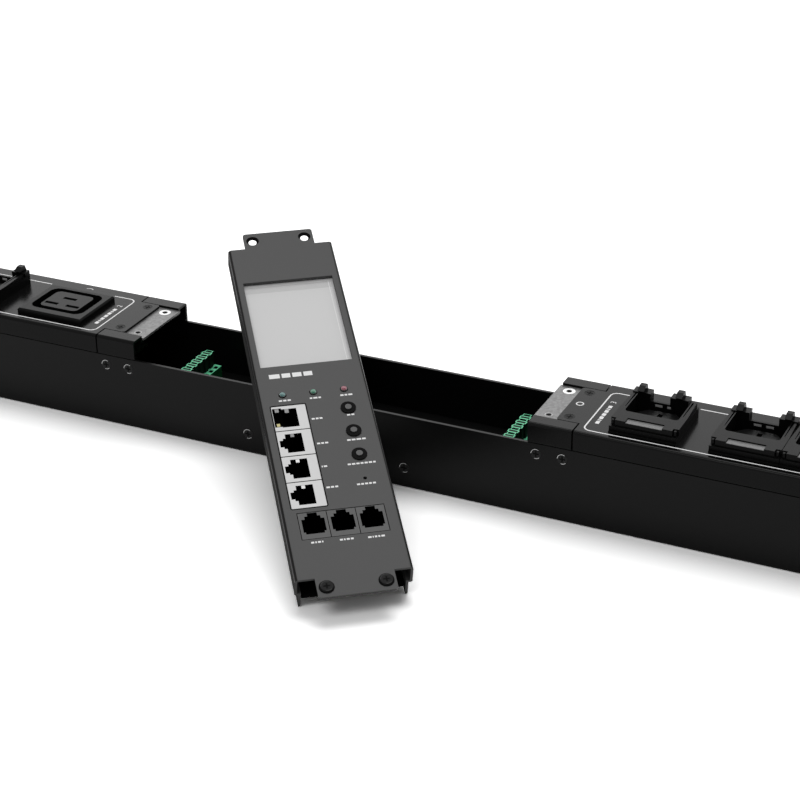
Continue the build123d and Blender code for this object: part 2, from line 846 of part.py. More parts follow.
# Cable gland: a body clamped in the left end cap, and its dome nut
gland_plane = Plane(origin=(-half_length, 0, gland_height), x_dir=(0, -1, 0), z_dir=(-1, 0, 0))
with BuildPart() as gland_body:
    with BuildSketch(gland_plane):
        RegularPolygon(gland_radius + gland_flange_extra, 6)
    extrude(amount=gland_flange)
    with BuildSketch(gland_plane.offset(gland_flange)):
        Circle(gland_thread_radius - gland_thread_wall)
    extrude(amount=gland_length - gland_flange)
    with BuildSketch(gland_plane):
        Circle(gland_thread_radius - fit_gap)
    extrude(amount=-cap_thickness)
    with BuildSketch(gland_plane.offset(-cap_thickness)):
        RegularPolygon(gland_radius + gland_flange_extra, 6)
    extrude(amount=-gland_flange)
    with BuildSketch(gland_plane.offset(gland_length)):
        Circle(gland_bore_radius)
    extrude(amount=-gland_length - gland_flange - cap_thickness, mode=Mode.SUBTRACT)
keep(gland_body.part, "gland_body")

nut_start = gland_flange + fit_gap
with BuildPart() as gland_nut:
    with BuildSketch(gland_plane.offset(nut_start)):
        RegularPolygon(gland_radius, 6)
    extrude(amount=gland_nut_hex)
    with BuildSketch(gland_plane.offset(nut_start + gland_nut_hex)):
        Circle(gland_thread_radius)
    extrude(amount=gland_nut_length - gland_nut_hex)
    fillet(gland_nut.edges().filter_by(GeomType.CIRCLE).sort_by(Axis.X)[0], gland_nut_round)
    with BuildSketch(gland_plane.offset(nut_start)):
        Circle(gland_thread_radius - gland_thread_wall + fit_gap)
    extrude(amount=gland_length - gland_flange, mode=Mode.SUBTRACT)
    with BuildSketch(gland_plane.offset(gland_length)):
        Circle(gland_bore_radius)
    extrude(amount=gland_nut_length, mode=Mode.SUBTRACT)
keep(gland_nut.part, "gland_nut")

# Press nuts behind the rear mounting holes
with BuildPart() as rear_press_nuts:
    with BuildSketch(top_plane(base_wall)):
        with Locations((-rear_hole_x, 0), (rear_hole_x, 0)):
            RegularPolygon(press_nut_radius, 6)
            Circle(rear_hole_radius, mode=Mode.SUBTRACT)
    extrude(amount=press_nut_height)
keep(rear_press_nuts.part, "rear_press_nuts")

# Screws
with BuildPart() as saddle_screws:
    for side in (-1, 1):
        for x in saddle_screw_x:
            countersunk_screw(
                wall_spot(side, x, saddle_screw_z), side_screw_length, tapped_radius - thread_gap
            )
keep(saddle_screws.part, "saddle_screws")

with BuildPart() as tray_screws:
    for side in (-1, 1):
        for x in (-tray_screw_x, tray_screw_x):
            countersunk_screw(
                wall_spot(side, x, tray_screw_z), side_screw_length, tapped_radius - thread_gap
            )
keep(tray_screws.part, "tray_screws")

with BuildPart() as tongue_screws:
    for x in (-tongue_screw_x, tongue_screw_x):
        for y in (-tab_hole_spacing / 2, tab_hole_spacing / 2):
            countersunk_screw(
                Plane(origin=(x, y, case_height)), tongue_screw_length, tapped_radius - thread_gap
            )
keep(tongue_screws.part, "tongue_screws")


def module_level(depth):
    """The module's face plane, moved in by a depth."""
    return module_face.offset(-depth)


small_jack_top = small_jack_v + small_jack_height / 2
small_jack_places = [
    small_jack_u + (i - (small_jack_count - 1) / 2) * small_jack_pitch for i in range(small_jack_count)
]
small_jack_width = small_jack_count * small_jack_pitch - small_jack_gap
jack_height = jack_pitch - jack_gap
jack_low_v = small_jack_top + jack_row_gap + jack_height / 2
jack_v = [jack_low_v + i * jack_pitch for i in reversed(range(jack_count))]
jack_row_v = (jack_v[0] + jack_v[-1]) / 2
jack_row_height = jack_count * jack_pitch - jack_gap
lamp_v = jack_v[0] + jack_height / 2 + lamp_step
lamp_u = [-lamp_pitch, 0, lamp_pitch]
button_v = [jack_v[0] + button_step - i * button_pitch for i in range(len(button_names) + 1)]
reset_v = button_v.pop()
window_top = module_length - window_top_inset
window_height = window_top - lamp_v - window_step
window_opening = (case_width - 2 * window_side, window_height)
window_centre_v = window_top - window_height / 2
tab_sink_radius = tab_hole_radius + sheet
tab_u = [-tab_hole_spacing / 2, tab_hole_spacing / 2]
tab_holes = [(u, v) for u in tab_u for v in (-tab_hole_inset, module_length + tab_hole_inset)]

# Module panel, folded to the same section as the covers, with a screw tab at each end
with BuildPart() as module_panel:
    panel_end = Plane(
        origin=module_face.from_local_coords(Vector(0, module_length, 0)),
        x_dir=module_across,
        z_dir=-module_along,
    )
    extrude(lid_section(panel_end), amount=module_length)
    with BuildSketch(module_level(0)) as tabs:
        with Locations((0, module_length / 2)):
            RectangleRounded(tongue_width, module_length + 2 * tab_length, tongue_corner)
    extrude(amount=-sheet)
    with BuildSketch(module_level(0)):
        with Locations((0, window_centre_v)):
            Rectangle(*window_opening)
        with Locations((jack_u, jack_row_v)):
            Rectangle(jack_width + 2 * fit_gap, jack_row_height + 2 * fit_gap)
        with Locations((small_jack_u, small_jack_v)):
            Rectangle(
                small_jack_width + 2 * small_jack_gap, small_jack_height + 2 * small_jack_gap
            )
        with Locations(*[(button_u, v) for v in button_v]):
            Circle(collar_neck + fit_gap)
        with Locations(*[(u, lamp_v) for u in lamp_u]):
            Circle(lamp_radius + fit_gap)
        with Locations((button_u, reset_v)):
            Circle(reset_radius)
    extrude(amount=-2 * sheet, mode=Mode.SUBTRACT)
    with Locations(*[module_face.location * Location((u, v, 0)) for u, v in tab_holes]):
        CounterSinkHole(tab_hole_radius, tab_sink_radius, depth=2 * sheet, counter_sink_angle=90)
keep(module_panel.part, "module_panel")

# Display: a clear window behind the panel, the display under it and a holder that stands on the board
lens_size = (window_opening[0] + 2 * lens_margin, window_opening[1] + 2 * lens_margin)
display_back = sheet + lens_thickness + display_thickness
with BuildPart() as display_window:
    with BuildSketch(module_level(sheet)):
        with Locations((0, window_centre_v)):
            Rectangle(*lens_size)
    extrude(amount=-lens_thickness)
keep(display_window.part, "display_window")

with BuildPart() as display_panel:
    with BuildSketch(module_level(sheet + lens_thickness)):
        with Locations((0, window_centre_v)):
            Rectangle(lens_size[0] - 2 * display_gap, lens_size[1] - 2 * display_gap)
    extrude(amount=-display_thickness)
keep(display_panel.part, "display_panel")

holder_pocket = (lens_size[0] + 2 * fit_gap, lens_size[1] + 2 * fit_gap)
holder_size = (holder_pocket[0] + 2 * holder_wall, holder_pocket[1] + 2 * holder_wall)
leg_spacing = (holder_size[0] - 2 * holder_leg_inset[0], holder_size[1] - 2 * holder_leg_inset[1])
with BuildPart() as display_holder:
    with BuildSketch(module_level(sheet)):
        with Locations((0, window_centre_v)):
            Rectangle(*holder_size)
    extrude(amount=-(display_back - sheet + holder_wall))
    with BuildSketch(module_level(sheet)):
        with Locations((0, window_centre_v)):
            Rectangle(*holder_pocket)
    extrude(amount=-(display_back - sheet), mode=Mode.SUBTRACT)
    with BuildSketch(module_level(display_back + holder_wall)):
        with Locations((0, window_centre_v)):
            with GridLocations(*leg_spacing, 2, 2):
                Rectangle(*holder_leg)
    extrude(amount=-(board_depth - display_back - holder_wall))
keep(display_holder.part, "display_holder")

# Main board on its stand-offs, with the screws that hold it
board_half_width = flange_outer - sheet - board_side_gap
main_board_length = module_length - 2 * board_end_inset
standoff_u = board_half_width - standoff_inset[0]
standoff_v = board_end_inset + standoff_inset[1]
standoff_places = [
    (u, v) for u in (-standoff_u, standoff_u) for v in (standoff_v, module_length - standoff_v)
]
with BuildPart() as main_board:
    with BuildSketch(module_level(board_depth)):
        with Locations((0, module_length / 2)):
            Rectangle(2 * board_half_width, main_board_length)
        with Locations(*standoff_places):
            Circle(tapped_radius + screw_gap, mode=Mode.SUBTRACT)
    extrude(amount=-board_thickness)
keep(main_board.part, "main_board")

with BuildPart() as board_standoffs:
    with BuildSketch(module_level(sheet)):
        with Locations(*standoff_places):
            RegularPolygon(standoff_radius, 6)
    extrude(amount=-(board_depth - sheet))
keep(board_standoffs.part, "board_standoffs")

with BuildPart() as board_screws:
    with BuildSketch(module_level(board_depth + board_thickness)):
        with Locations(*standoff_places):
            Circle(head_radius)
    extrude(amount=-board_head_height)
    with BuildSketch(module_level(board_depth + board_thickness)):
        with Locations(*standoff_places):
            Circle(tapped_radius)
    extrude(amount=board_thickness)
keep(board_screws.part, "board_screws")

# Shielded network jacks, each with its stepped well, latch side to the module's left
for number, v in enumerate(jack_v, start=1):
    with BuildPart() as jack:
        with BuildSketch(module_level(face_drop)):
            with Locations((jack_u, v)):
                Rectangle(jack_width, jack_height)
        extrude(amount=-(board_depth - face_drop))
        with BuildSketch(module_level(face_drop)):
            with Locations((jack_u + jack_opening_edge, v)):
                for step in jack_steps:
                    Rectangle(*step, align=(Align.MAX, Align.CENTER))
        extrude(amount=-jack_well, mode=Mode.SUBTRACT)
    keep(jack.part, "network_jack_" + str(number))

# Ganged block of three small jacks, grooved between them
with BuildPart() as small_jacks:
    with BuildSketch(module_level(face_drop)):
        with Locations((small_jack_u, small_jack_v)):
            Rectangle(small_jack_width, small_jack_height)
    extrude(amount=-(board_depth - face_drop))
    with BuildSketch(module_level(face_drop)):
        for u in small_jack_places:
            with Locations((u, small_jack_v - small_jack_foot)):
                for step in small_jack_steps:
                    Rectangle(*step, align=(Align.CENTER, Align.MIN))
            with Locations((u, small_jack_v - small_jack_foot + small_jack_main_rise)):
                Rectangle(*small_jack_main, align=(Align.CENTER, Align.MIN))
    extrude(amount=-jack_well, mode=Mode.SUBTRACT)
    with BuildSketch(module_level(face_drop)):
        for u in small_jack_places[:-1]:
            with Locations((u + small_jack_pitch / 2, small_jack_v)):
                Rectangle(small_jack_gap, small_jack_height)
    extrude(amount=-small_jack_groove, mode=Mode.SUBTRACT)
keep(small_jacks.part, "small_jacks")

# Key switches under the three buttons and the reset pinhole
with BuildPart() as key_switches:
    with BuildSketch(module_level(board_depth)):
        with Locations(*[(button_u, v) for v in button_v + [reset_v]]):
            Rectangle(switch_size, switch_size)
    extrude(amount=switch_height)
    with BuildSketch(module_level(board_depth - switch_height)):
        with Locations(*[(button_u, v) for v in button_v + [reset_v]]):
            Circle(button_radius)
    extrude(amount=plunger_height)
keep(key_switches.part, "key_switches")

# Collars pressed into the panel, and the caps that slide in them
collar_back = sheet + collar_lip
with BuildPart() as button_collars:
    with BuildSketch(module_level(0)):
        with Locations(*[(button_u, v) for v in button_v]):
            Circle(collar_radius)
    extrude(amount=collar_rise)
    with BuildSketch(module_level(0)):
        with Locations(*[(button_u, v) for v in button_v]):
            Circle(collar_neck)
    extrude(amount=-collar_back)
    with BuildSketch(module_level(collar_back)):
        with Locations(*[(button_u, v) for v in button_v]):
            Circle(button_radius + button_guide_gap)
    extrude(amount=collar_back + collar_rise, mode=Mode.SUBTRACT)
keep(button_collars.part, "button_collars")

cap_bottom = board_depth - switch_height - plunger_height - button_travel - plunger_gap
for name, v in zip(button_names, button_v):
    with BuildPart() as button:
        with BuildSketch(module_level(cap_bottom)):
            with Locations((button_u, v)):
                Circle(button_radius)
        extrude(amount=cap_bottom + button_rise)
        with BuildSketch(module_level(collar_back + button_travel)):
            with Locations((button_u, v)):
                Circle(button_radius + button_skirt)
        extrude(amount=-button_skirt)
    keep(button.part, "button_" + name)

# Status lamps: light pipes from the board to the panel
with BuildPart() as status_lamps:
    with BuildSketch(module_level(board_depth)):
        with Locations(*[(u, lamp_v) for u in lamp_u]):
            Circle(lamp_radius)
    extrude(amount=board_depth + lamp_rise)
keep(status_lamps.part, "status_lamps")

# Pin headers under the board, where the two plug blocks go on
header_places = [plug_left_inset - module_end_gap, module_length - plug_right_inset + module_end_gap]
with BuildPart() as pin_headers:
    with BuildSketch(module_level(board_depth + board_thickness)):
        with Locations(*[(0, v) for v in header_places]):
            Rectangle(pole_count * pole_pitch, header_width)
    extrude(amount=-header_standoff)
    with BuildSketch(module_level(board_depth + board_thickness + header_standoff)):
        for v in header_places:
            with Locations((0, v)):
                with GridLocations(pole_pitch, 0, pole_count, 1):
                    Rectangle(pin_size, pin_size)
    extrude(amount=-pin_reach)
keep(pin_headers.part, "pin_headers")

# Captive screws in the module's lower tab, with raised oval heads
with BuildPart() as module_screw:
    Cylinder(oval_head_radius, oval_head_rise, align=bottom_align)
    head_face = module_screw.faces().sort_by(Axis.Z)[-1]
    fillet(head_face.edges(), oval_head_rise - fit_gap)
    Cone(tab_hole_radius, tab_sink_radius, sheet, align=top_align)
    Cylinder(tapped_radius - thread_gap, module_screw_length, align=top_align)
with BuildPart() as module_screws:
    with Locations(*[module_face.location * Location((u, -tab_hole_inset, 0)) for u in tab_u]):
        add(module_screw.part)
keep(module_screws.part, "module_screws")
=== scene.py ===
"""Looks of a rack power distribution unit with its metering module taken out of the bay.

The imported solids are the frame. Each class below dresses one sub-assembly: it gives the solids their
finishes and adds the prints, lamps, contacts and screw recesses that are too fine for the solids.
Lengths are millimetres unless a name says otherwise, and MM turns them into Blender's metres.
"""

import json
import logging
import math
from dataclasses import dataclass
from enum import Enum
from functools import cache
from typing import Callable, Sequence

import bmesh
import bpy
from mathutils import Matrix, Vector

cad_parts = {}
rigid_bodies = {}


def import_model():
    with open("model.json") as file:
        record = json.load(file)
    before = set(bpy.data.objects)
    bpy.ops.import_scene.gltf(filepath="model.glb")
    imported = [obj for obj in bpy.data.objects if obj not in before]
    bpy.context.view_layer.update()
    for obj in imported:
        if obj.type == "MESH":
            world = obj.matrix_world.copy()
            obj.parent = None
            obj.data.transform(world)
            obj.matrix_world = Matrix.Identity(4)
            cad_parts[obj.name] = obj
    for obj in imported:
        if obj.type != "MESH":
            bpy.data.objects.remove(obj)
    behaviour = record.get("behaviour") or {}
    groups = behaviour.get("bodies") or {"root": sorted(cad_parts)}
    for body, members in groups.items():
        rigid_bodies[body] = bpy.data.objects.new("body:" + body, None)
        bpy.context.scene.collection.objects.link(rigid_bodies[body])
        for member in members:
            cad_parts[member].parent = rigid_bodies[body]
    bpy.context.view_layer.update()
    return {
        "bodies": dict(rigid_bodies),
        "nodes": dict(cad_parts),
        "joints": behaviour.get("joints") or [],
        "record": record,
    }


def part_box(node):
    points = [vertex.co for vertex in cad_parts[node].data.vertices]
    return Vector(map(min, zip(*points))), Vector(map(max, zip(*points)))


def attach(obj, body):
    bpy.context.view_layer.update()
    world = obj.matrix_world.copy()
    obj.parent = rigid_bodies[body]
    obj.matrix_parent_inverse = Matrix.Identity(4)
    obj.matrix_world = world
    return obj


MM = 0.001
UNIT = "unit"
PRINT_THICKNESS = 0.04
FILM_THICKNESS = 0.03
DIGIT_PART = 0.7
RECESS_SIZE = (1.55, 0.75)
GLINT_WIDTH = 0.28
LEAST_HEAD = 2.0
LOG = logging.getLogger("rack_power_unit")

Point = tuple[float, float]


# Finishes


class Grain(Enum):
    """The fine relief or mottling of a surface."""

    SMOOTH = "smooth"
    POWDER = "powder coat"
    MOULDED = "moulded plastic"
    SPANGLE = "zinc spangle"
    BRUSHED = "brushed metal"


def linear(shade: float) -> float:
    """Turn a display shade from 0 to 1 into a linear one."""
    return shade / 12.92 if shade <= 0.04045 else ((shade + 0.055) / 1.055) ** 2.4


@dataclass(frozen=True)
class Finish:
    """One surface finish, with its colour as it is seen on a display."""

    name: str
    colour: tuple[float, float, float]
    roughness: float = 0.5
    metallic: float = 0.0
    specular: float = 0.5
    glow: float = 0.0
    alpha: float = 1.0
    grain: Grain = Grain.SMOOTH
    grain_size: float = 0.5
    relief: float = 0.1

    @cache
    def material(self) -> bpy.types.Material:
        """Build the material on its first use.

        Returns:
            The material of this finish, shared by every piece that has it.
        """
        made = bpy.data.materials.new(f"{self.name}_finish")
        made.use_nodes = True
        shader = made.node_tree.nodes["Principled BSDF"]
        shade = (*(linear(c) for c in self.colour), 1.0)
        shader.inputs["Base Color"].default_value = shade
        shader.inputs["Roughness"].default_value = self.roughness
        shader.inputs["Metallic"].default_value = self.metallic
        shader.inputs["Specular IOR Level"].default_value = self.specular
        shader.inputs["Alpha"].default_value = self.alpha
        shader.inputs["Emission Color"].default_value = shade
        shader.inputs["Emission Strength"].default_value = self.glow
        if self.grain is Grain.SPANGLE:
            self._add_spangle(made, shader)
        elif self.grain is not Grain.SMOOTH:
            self._add_relief(made, shader)
        return made

    def _pattern_space(self, made: bpy.types.Material) -> bpy.types.NodeSocket:
        """Return a socket with the piece's own coordinates, in grains."""
        nodes, links = made.node_tree.nodes, made.node_tree.links
        place = nodes.new("ShaderNodeTexCoord")
        scale = nodes.new("ShaderNodeMapping")
        across = 1 / (self.grain_size * MM)
        along = across * (0.03 if self.grain is Grain.BRUSHED else 1.0)
        scale.inputs["Scale"].default_value = (along, across, across)
        links.new(place.outputs["Object"], scale.inputs["Vector"])
        return scale.outputs["Vector"]

    def _add_relief(self, made: bpy.types.Material, shader: bpy.types.Node) -> None:
        """Give the shader a fine bump."""
        nodes, links = made.node_tree.nodes, made.node_tree.links
        noise = nodes.new("ShaderNodeTexNoise")
        noise.inputs["Scale"].default_value = 1.0
        noise.inputs["Detail"].default_value = 2.0
        bump = nodes.new("ShaderNodeBump")
        bump.inputs["Strength"].default_value = self.relief
        bump.inputs["Distance"].default_value = self.grain_size * MM
        links.new(self._pattern_space(made), noise.inputs["Vector"])
        links.new(noise.outputs["Fac"], bump.inputs["Height"])
        links.new(bump.outputs["Normal"], shader.inputs["Normal"])

    def _add_spangle(self, made: bpy.types.Material, shader: bpy.types.Node) -> None:
        """Mottle the colour with crystal-like patches."""
        nodes, links = made.node_tree.nodes, made.node_tree.links
        cells = nodes.new("ShaderNodeTexVoronoi")
        cells.inputs["Scale"].default_value = 1.0
        ramp = nodes.new("ShaderNodeValToRGB")
        dark, light = 1 - self.relief, 1 + self.relief
        for stop, factor in zip(ramp.color_ramp.elements, (dark, light)):
            stop.color = (*(linear(min(1.0, c * factor)) for c in self.colour), 1.0)
        links.new(self._pattern_space(made), cells.inputs["Vector"])
        links.new(cells.outputs["Color"], ramp.inputs["Fac"])
        links.new(ramp.outputs["Color"], shader.inputs["Base Color"])


def grey(shade: float) -> tuple[float, float, float]:
    """Return a neutral colour with the given display shade out of 255."""
    return (shade / 255,) * 3


CASE_PAINT = Finish(
    "case_paint", grey(9), 0.2, specular=0.08, grain=Grain.POWDER, grain_size=0.5, relief=0.015
)
BASE_PAINT = Finish(
    "base_paint", grey(9), 0.28, specular=0.1, grain=Grain.POWDER, grain_size=0.5, relief=0.02
)
PANEL_PAINT = Finish(
    "panel_paint", grey(66), 0.34, specular=0.14, grain=Grain.POWDER, grain_size=0.5, relief=0.03
)
# Painted shade: near-black glossy colour on the panel's folds and the module screws' arcs, a painted dark
# reflection along the folds.
FOLD_PAINTED_SHADE = Finish("fold_painted_shade", grey(8), 0.16, specular=0.12)
# Painted shade: the panel's flanks darker than the panel's own grey.
FLANK_PAINTED_SHADE = Finish("flank_painted_shade", grey(44), 0.7, specular=0.02)
TRAY_PAINT = Finish("tray_paint", grey(10), 0.7, specular=0.05)
BARE_ZINC = Finish(
    "bare_zinc", grey(100), 0.4, metallic=0.5, grain=Grain.SPANGLE, grain_size=1.1, relief=0.16
)
OUTLET_PLASTIC = Finish(
    "outlet_plastic", grey(10), 0.3, specular=0.06, grain=Grain.MOULDED, grain_size=0.4, relief=0.03
)
INSERT_PLASTIC = Finish(
    "insert_plastic", grey(12), 0.36, specular=0.08, grain=Grain.MOULDED, grain_size=0.4, relief=0.03
)
CAP_PLASTIC = Finish("cap_plastic", grey(26), 0.5, specular=0.2, grain=Grain.MOULDED, relief=0.06)
GLAND_NYLON = Finish("gland_nylon", grey(26), 0.45, specular=0.3, grain=Grain.MOULDED, relief=0.05)
LABEL_FILM = Finish("label_film", grey(104), 0.4, specular=0.3)
PLUG_GREEN = Finish("plug_green", (0.04, 0.36, 0.2), 0.35, specular=0.2)
# Painted light: the plugs' upward faces paler than their own green.
PLUG_TOP_PAINTED_LIGHT = Finish("plug_top_painted_light", (0.42, 0.82, 0.63), 0.4, specular=0.2)
# Painted shade: near-black green in and over the plugs' contact cells.
PLUG_CELL_PAINTED_SHADE = Finish("plug_cell_painted_shade", (0.02, 0.09, 0.05), 0.6, specular=0.1)
BOARD_GREEN = Finish("board_green", (0.05, 0.13, 0.08), 0.45, specular=0.3)
CONTACT_METAL = Finish("contact_metal", (0.78, 0.68, 0.42), 0.35, metallic=1.0)
BAR_COPPER = Finish(
    "bar_copper", (0.72, 0.45, 0.3), 0.35, metallic=1.0, grain=Grain.BRUSHED, relief=0.05
)
SUPPORT_NYLON = Finish("support_nylon", grey(190), 0.5)
TERMINAL_BLOCK = Finish("terminal_block", grey(60), 0.5)
BLACK_SCREW = Finish("black_screw", grey(12), 0.22, specular=0.14)
# Painted highlight: the bright glint arcs drawn on screw heads.
SCREW_GLINT_PAINT = Finish("screw_glint_paint", grey(165), 0.25, metallic=0.8)
DULL_SCREW = Finish("dull_screw", grey(12), 0.25, specular=0.045)
BRIGHT_SCREW = Finish("bright_screw", grey(170), 0.3, metallic=1.0)
# Painted shade: near-black for the crosses drawn where screw recesses are, the arcs on the tongue screws, the
# lamp rings, the line round the jack cutout and the tabs' countersinks.
PAINTED_RECESS_SHADE = Finish("painted_recess_shade", grey(5), 0.7, specular=0.05)
# Painted highlight: the bright rings round the bridge plates' holes.
HOLE_RIM_HIGHLIGHT = Finish("hole_rim_highlight", grey(225), 0.35, metallic=0.4)
HOLE_EDGE_HIGHLIGHT = Finish("hole_edge_highlight", grey(150), 0.35, metallic=0.4)
# Painted shade: black sheets at the module's ends, put where its inside lies in shade.
END_PAINTED_SHADE = Finish("end_painted_shade", grey(8), 0.5, specular=0.05)
DISPLAY_GLASS = Finish("display_glass", grey(235), 0.4, specular=0.05, alpha=0.05)
# Painted light: the display's face, band and lines glow faintly, though the display is no lamp.
DISPLAY_FACE_GLOWING = Finish("display_face", grey(207), 0.5, specular=0.1, glow=0.06)
DISPLAY_BAND_GLOWING = Finish("display_band_glowing", grey(193), 0.5, specular=0.1, glow=0.06)
DISPLAY_EDGE_GLOWING = Finish("display_edge_glowing", grey(226), 0.5, specular=0.1, glow=0.06)
HOLDER_PLASTIC = Finish("holder_plastic", grey(30), 0.5)
JACK_SHIELD = Finish("jack_shield", grey(218), 0.45, specular=0.2)
JACK_PLASTIC = Finish("jack_plastic", grey(76), 0.45, specular=0.25)
# Painted shade: near-black in the jacks' wells and the gaps at their sides, darker than the jacks' own
# plastic.
JACK_WELL_PAINTED_SHADE = Finish("jack_well_painted_shade", grey(2), 0.8, specular=0.0)
JACK_LIGHT = Finish("jack_light", grey(225), 0.3)
JACK_SMOKED = Finish("jack_smoked", grey(120), 0.4)
JACK_AMBER = Finish("jack_amber", (0.72, 0.68, 0.42), 0.4)
BUTTON_PLASTIC = Finish("button_plastic", grey(70), 0.35, specular=0.2)
COLLAR_PLASTIC = Finish("collar_plastic", grey(5), 0.35, specular=0.02)
SWITCH_PLASTIC = Finish("switch_plastic", grey(34), 0.5)
LAMP_PIPE = Finish("lamp_pipe", grey(60), 0.3)
LAMP_TEAL = Finish("lamp_teal", (0.28, 0.46, 0.45), 0.2, specular=0.3)
LAMP_GREEN = Finish("lamp_green", (0.22, 0.48, 0.38), 0.2, specular=0.3)
LAMP_RED = Finish("lamp_red", (0.55, 0.27, 0.33), 0.2, specular=0.3)
WHITE_PRINT = Finish("white_print", grey(236), 0.6)
SOFT_PRINT = Finish("soft_print", grey(185), 0.6)

NODE_FINISHES: dict[str, Finish] = {
    "base_channel": BASE_PAINT,
    "cover_": CASE_PAINT,
    "saddle_screws": BLACK_SCREW,
    "saddle_": CASE_PAINT,
    "bridge_plate_": BARE_ZINC,
    "end_cap_": CAP_PLASTIC,
    "gland_": GLAND_NYLON,
    "rear_press_nuts": BRIGHT_SCREW,
    "c19_housing_": OUTLET_PLASTIC,
    "c19_inserts": INSERT_PLASTIC,
    "c13_insert_": INSERT_PLASTIC,
    "retention_frame_": OUTLET_PLASTIC,
    "label_strips": LABEL_FILM,
    "power_boards": BOARD_GREEN,
    "outlet_contacts": CONTACT_METAL,
    "board_supports": SUPPORT_NYLON,
    "link_bars": BAR_COPPER,
    "inlet_terminals": TERMINAL_BLOCK,
    "bay_tray": TRAY_PAINT,
    "plug_block_": PLUG_GREEN,
    "tray_screws": BLACK_SCREW,
    "tongue_screws": DULL_SCREW,
    "module_panel": PANEL_PAINT,
    "module_screws": DULL_SCREW,
    "display_window": DISPLAY_GLASS,
    "display_panel": DISPLAY_FACE_GLOWING,
    "display_holder": HOLDER_PLASTIC,
    "main_board": BOARD_GREEN,
    "board_standoffs": BRIGHT_SCREW,
    "board_screws": BRIGHT_SCREW,
    "network_jack_": JACK_SHIELD,
    "small_jacks": JACK_PLASTIC,
    "key_switches": SWITCH_PLASTIC,
    "button_collars": COLLAR_PLASTIC,
    "button_": BUTTON_PLASTIC,
    "status_lamps": LAMP_PIPE,
    "pin_headers": CONTACT_METAL,
}


# Meshes


def in_metres(place: Matrix) -> Matrix:
    """Return the placement with its millimetres turned into metres."""
    return Matrix.Scale(MM, 4) @ place


def finished(name: str, mesh: bpy.types.Mesh, finish: Finish) -> bpy.types.Object:
    """Link a mesh as a piece that rides on the unit.

    Args:
        name: the piece's name.
        mesh: its mesh, in the row frame in metres.
        finish: its surface.

    Returns:
        The linked object.
    """
    mesh.materials.append(finish.material())
    piece = bpy.data.objects.new(name, mesh)
    bpy.context.scene.collection.objects.link(piece)
    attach(piece, UNIT)
    LOG.info("%s: %d faces", name, len(mesh.polygons))
    return piece


def plates(
    name: str,
    outlines: Sequence[Sequence[Point]],
    place: Matrix,
    thickness: float,
    finish: Finish,
) -> bpy.types.Object:
    """Build thin closed plates from outlines on one plane.

    Args:
        name: the piece's name.
        outlines: each plate's corners in the plane, in millimetres.
        place: the plane, in millimetres.
        thickness: how far the plates rise from the plane.
        finish: their surface.

    Returns:
        One object with all the plates.
    """
    shape = bmesh.new()
    to_world = in_metres(place)
    for outline in outlines:
        low = [shape.verts.new(to_world @ Vector((x, y, 0))) for x, y in outline]
        high = [shape.verts.new(to_world @ Vector((x, y, thickness))) for x, y in outline]
        shape.faces.new(low[::-1])
        shape.faces.new(high)
        for i in range(len(outline)):
            j = (i + 1) % len(outline)
            shape.faces.new((low[i], low[j], high[j], high[i]))
    bmesh.ops.recalc_face_normals(shape, faces=shape.faces)
    mesh = bpy.data.meshes.new(name)
    shape.to_mesh(mesh)
    shape.free()
    return finished(name, mesh, finish)


def bar(x: float, y: float, width: float, height: float) -> list[Point]:
    """Return a rectangle's corners, from its centre and size."""
    w, h = width / 2, height / 2
    return [(x - w, y - h), (x + w, y - h), (x + w, y + h), (x - w, y + h)]


def disc(x: float, y: float, radius: float, steps: int = 24) -> list[Point]:
    """Return a circle's points."""
    turns = [2 * math.pi * i / steps for i in range(steps)]
    return [(x + radius * math.cos(t), y + radius * math.sin(t)) for t in turns]


def cross(x: float, y: float, reach: float, width: float) -> list[Point]:
    """Return the outline of a plus sign."""
    w = width / 2
    corner = [(reach, w), (w, w), (w, reach)]
    outline: list[Point] = []
    for turn in range(4):
        c, s = (1, 0, -1, 0)[turn], (0, 1, 0, -1)[turn]
        outline += [(x + a * c - b * s, y + a * s + b * c) for a, b in corner]
    return outline


def stroke(path: Sequence[Point], width: float, closed: bool = False) -> list[list[Point]]:
    """Turn a path into the outlines of its straight pieces, with mitred joints.

    Args:
        path: the points of the path's middle.
        width: the line's width.
        closed: True if the last point joins the first.

    Returns:
        One four-cornered outline for each piece of the path.
    """
    count = len(path)
    sides: list[tuple[Point, Point]] = []
    for i, (x, y) in enumerate(path):
        before = path[i - 1] if i or closed else path[i]
        after = path[(i + 1) % count] if i < count - 1 or closed else path[i]
        one = Vector((x - before[0], y - before[1]))
        two = Vector((after[0] - x, after[1] - y))
        one = one.normalized() if one.length else two.normalized()
        two = two.normalized() if two.length else one
        mean = (one + two).normalized()
        reach = width / 2 / max(0.3, mean.dot(one))
        left = Vector((-mean.y, mean.x)) * reach
        sides.append(((x + left.x, y + left.y), (x - left.x, y - left.y)))
    last = count if closed else count - 1
    outlines = []
    for i in range(last):
        (a, b), (c, d) = sides[i], sides[(i + 1) % count]
        outlines.append([a, b, d, c])
    return outlines


def rounded(corners: Sequence[Point], radius: float, steps: int = 6) -> list[Point]:
    """Round off the inner corners of an open path.

    Args:
        corners: the path's points.
        radius: the radius at each inner corner, for right angles.
        steps: the number of pieces in each arc.

    Returns:
        The path with its arcs.
    """
    path = [corners[0]]
    for before, here, after in zip(corners, corners[1:], corners[2:]):
        start = Vector(here) + (Vector(before) - Vector(here)).normalized() * radius
        end = Vector(here) + (Vector(after) - Vector(here)).normalized() * radius
        centre = start + end - Vector(here)
        for i in range(steps + 1):
            t = math.pi / 2 * i / steps
            arm = (start - centre) * math.cos(t) + (end - centre) * math.sin(t)
            path.append(tuple(centre + arm))
    path.append(corners[-1])
    return path


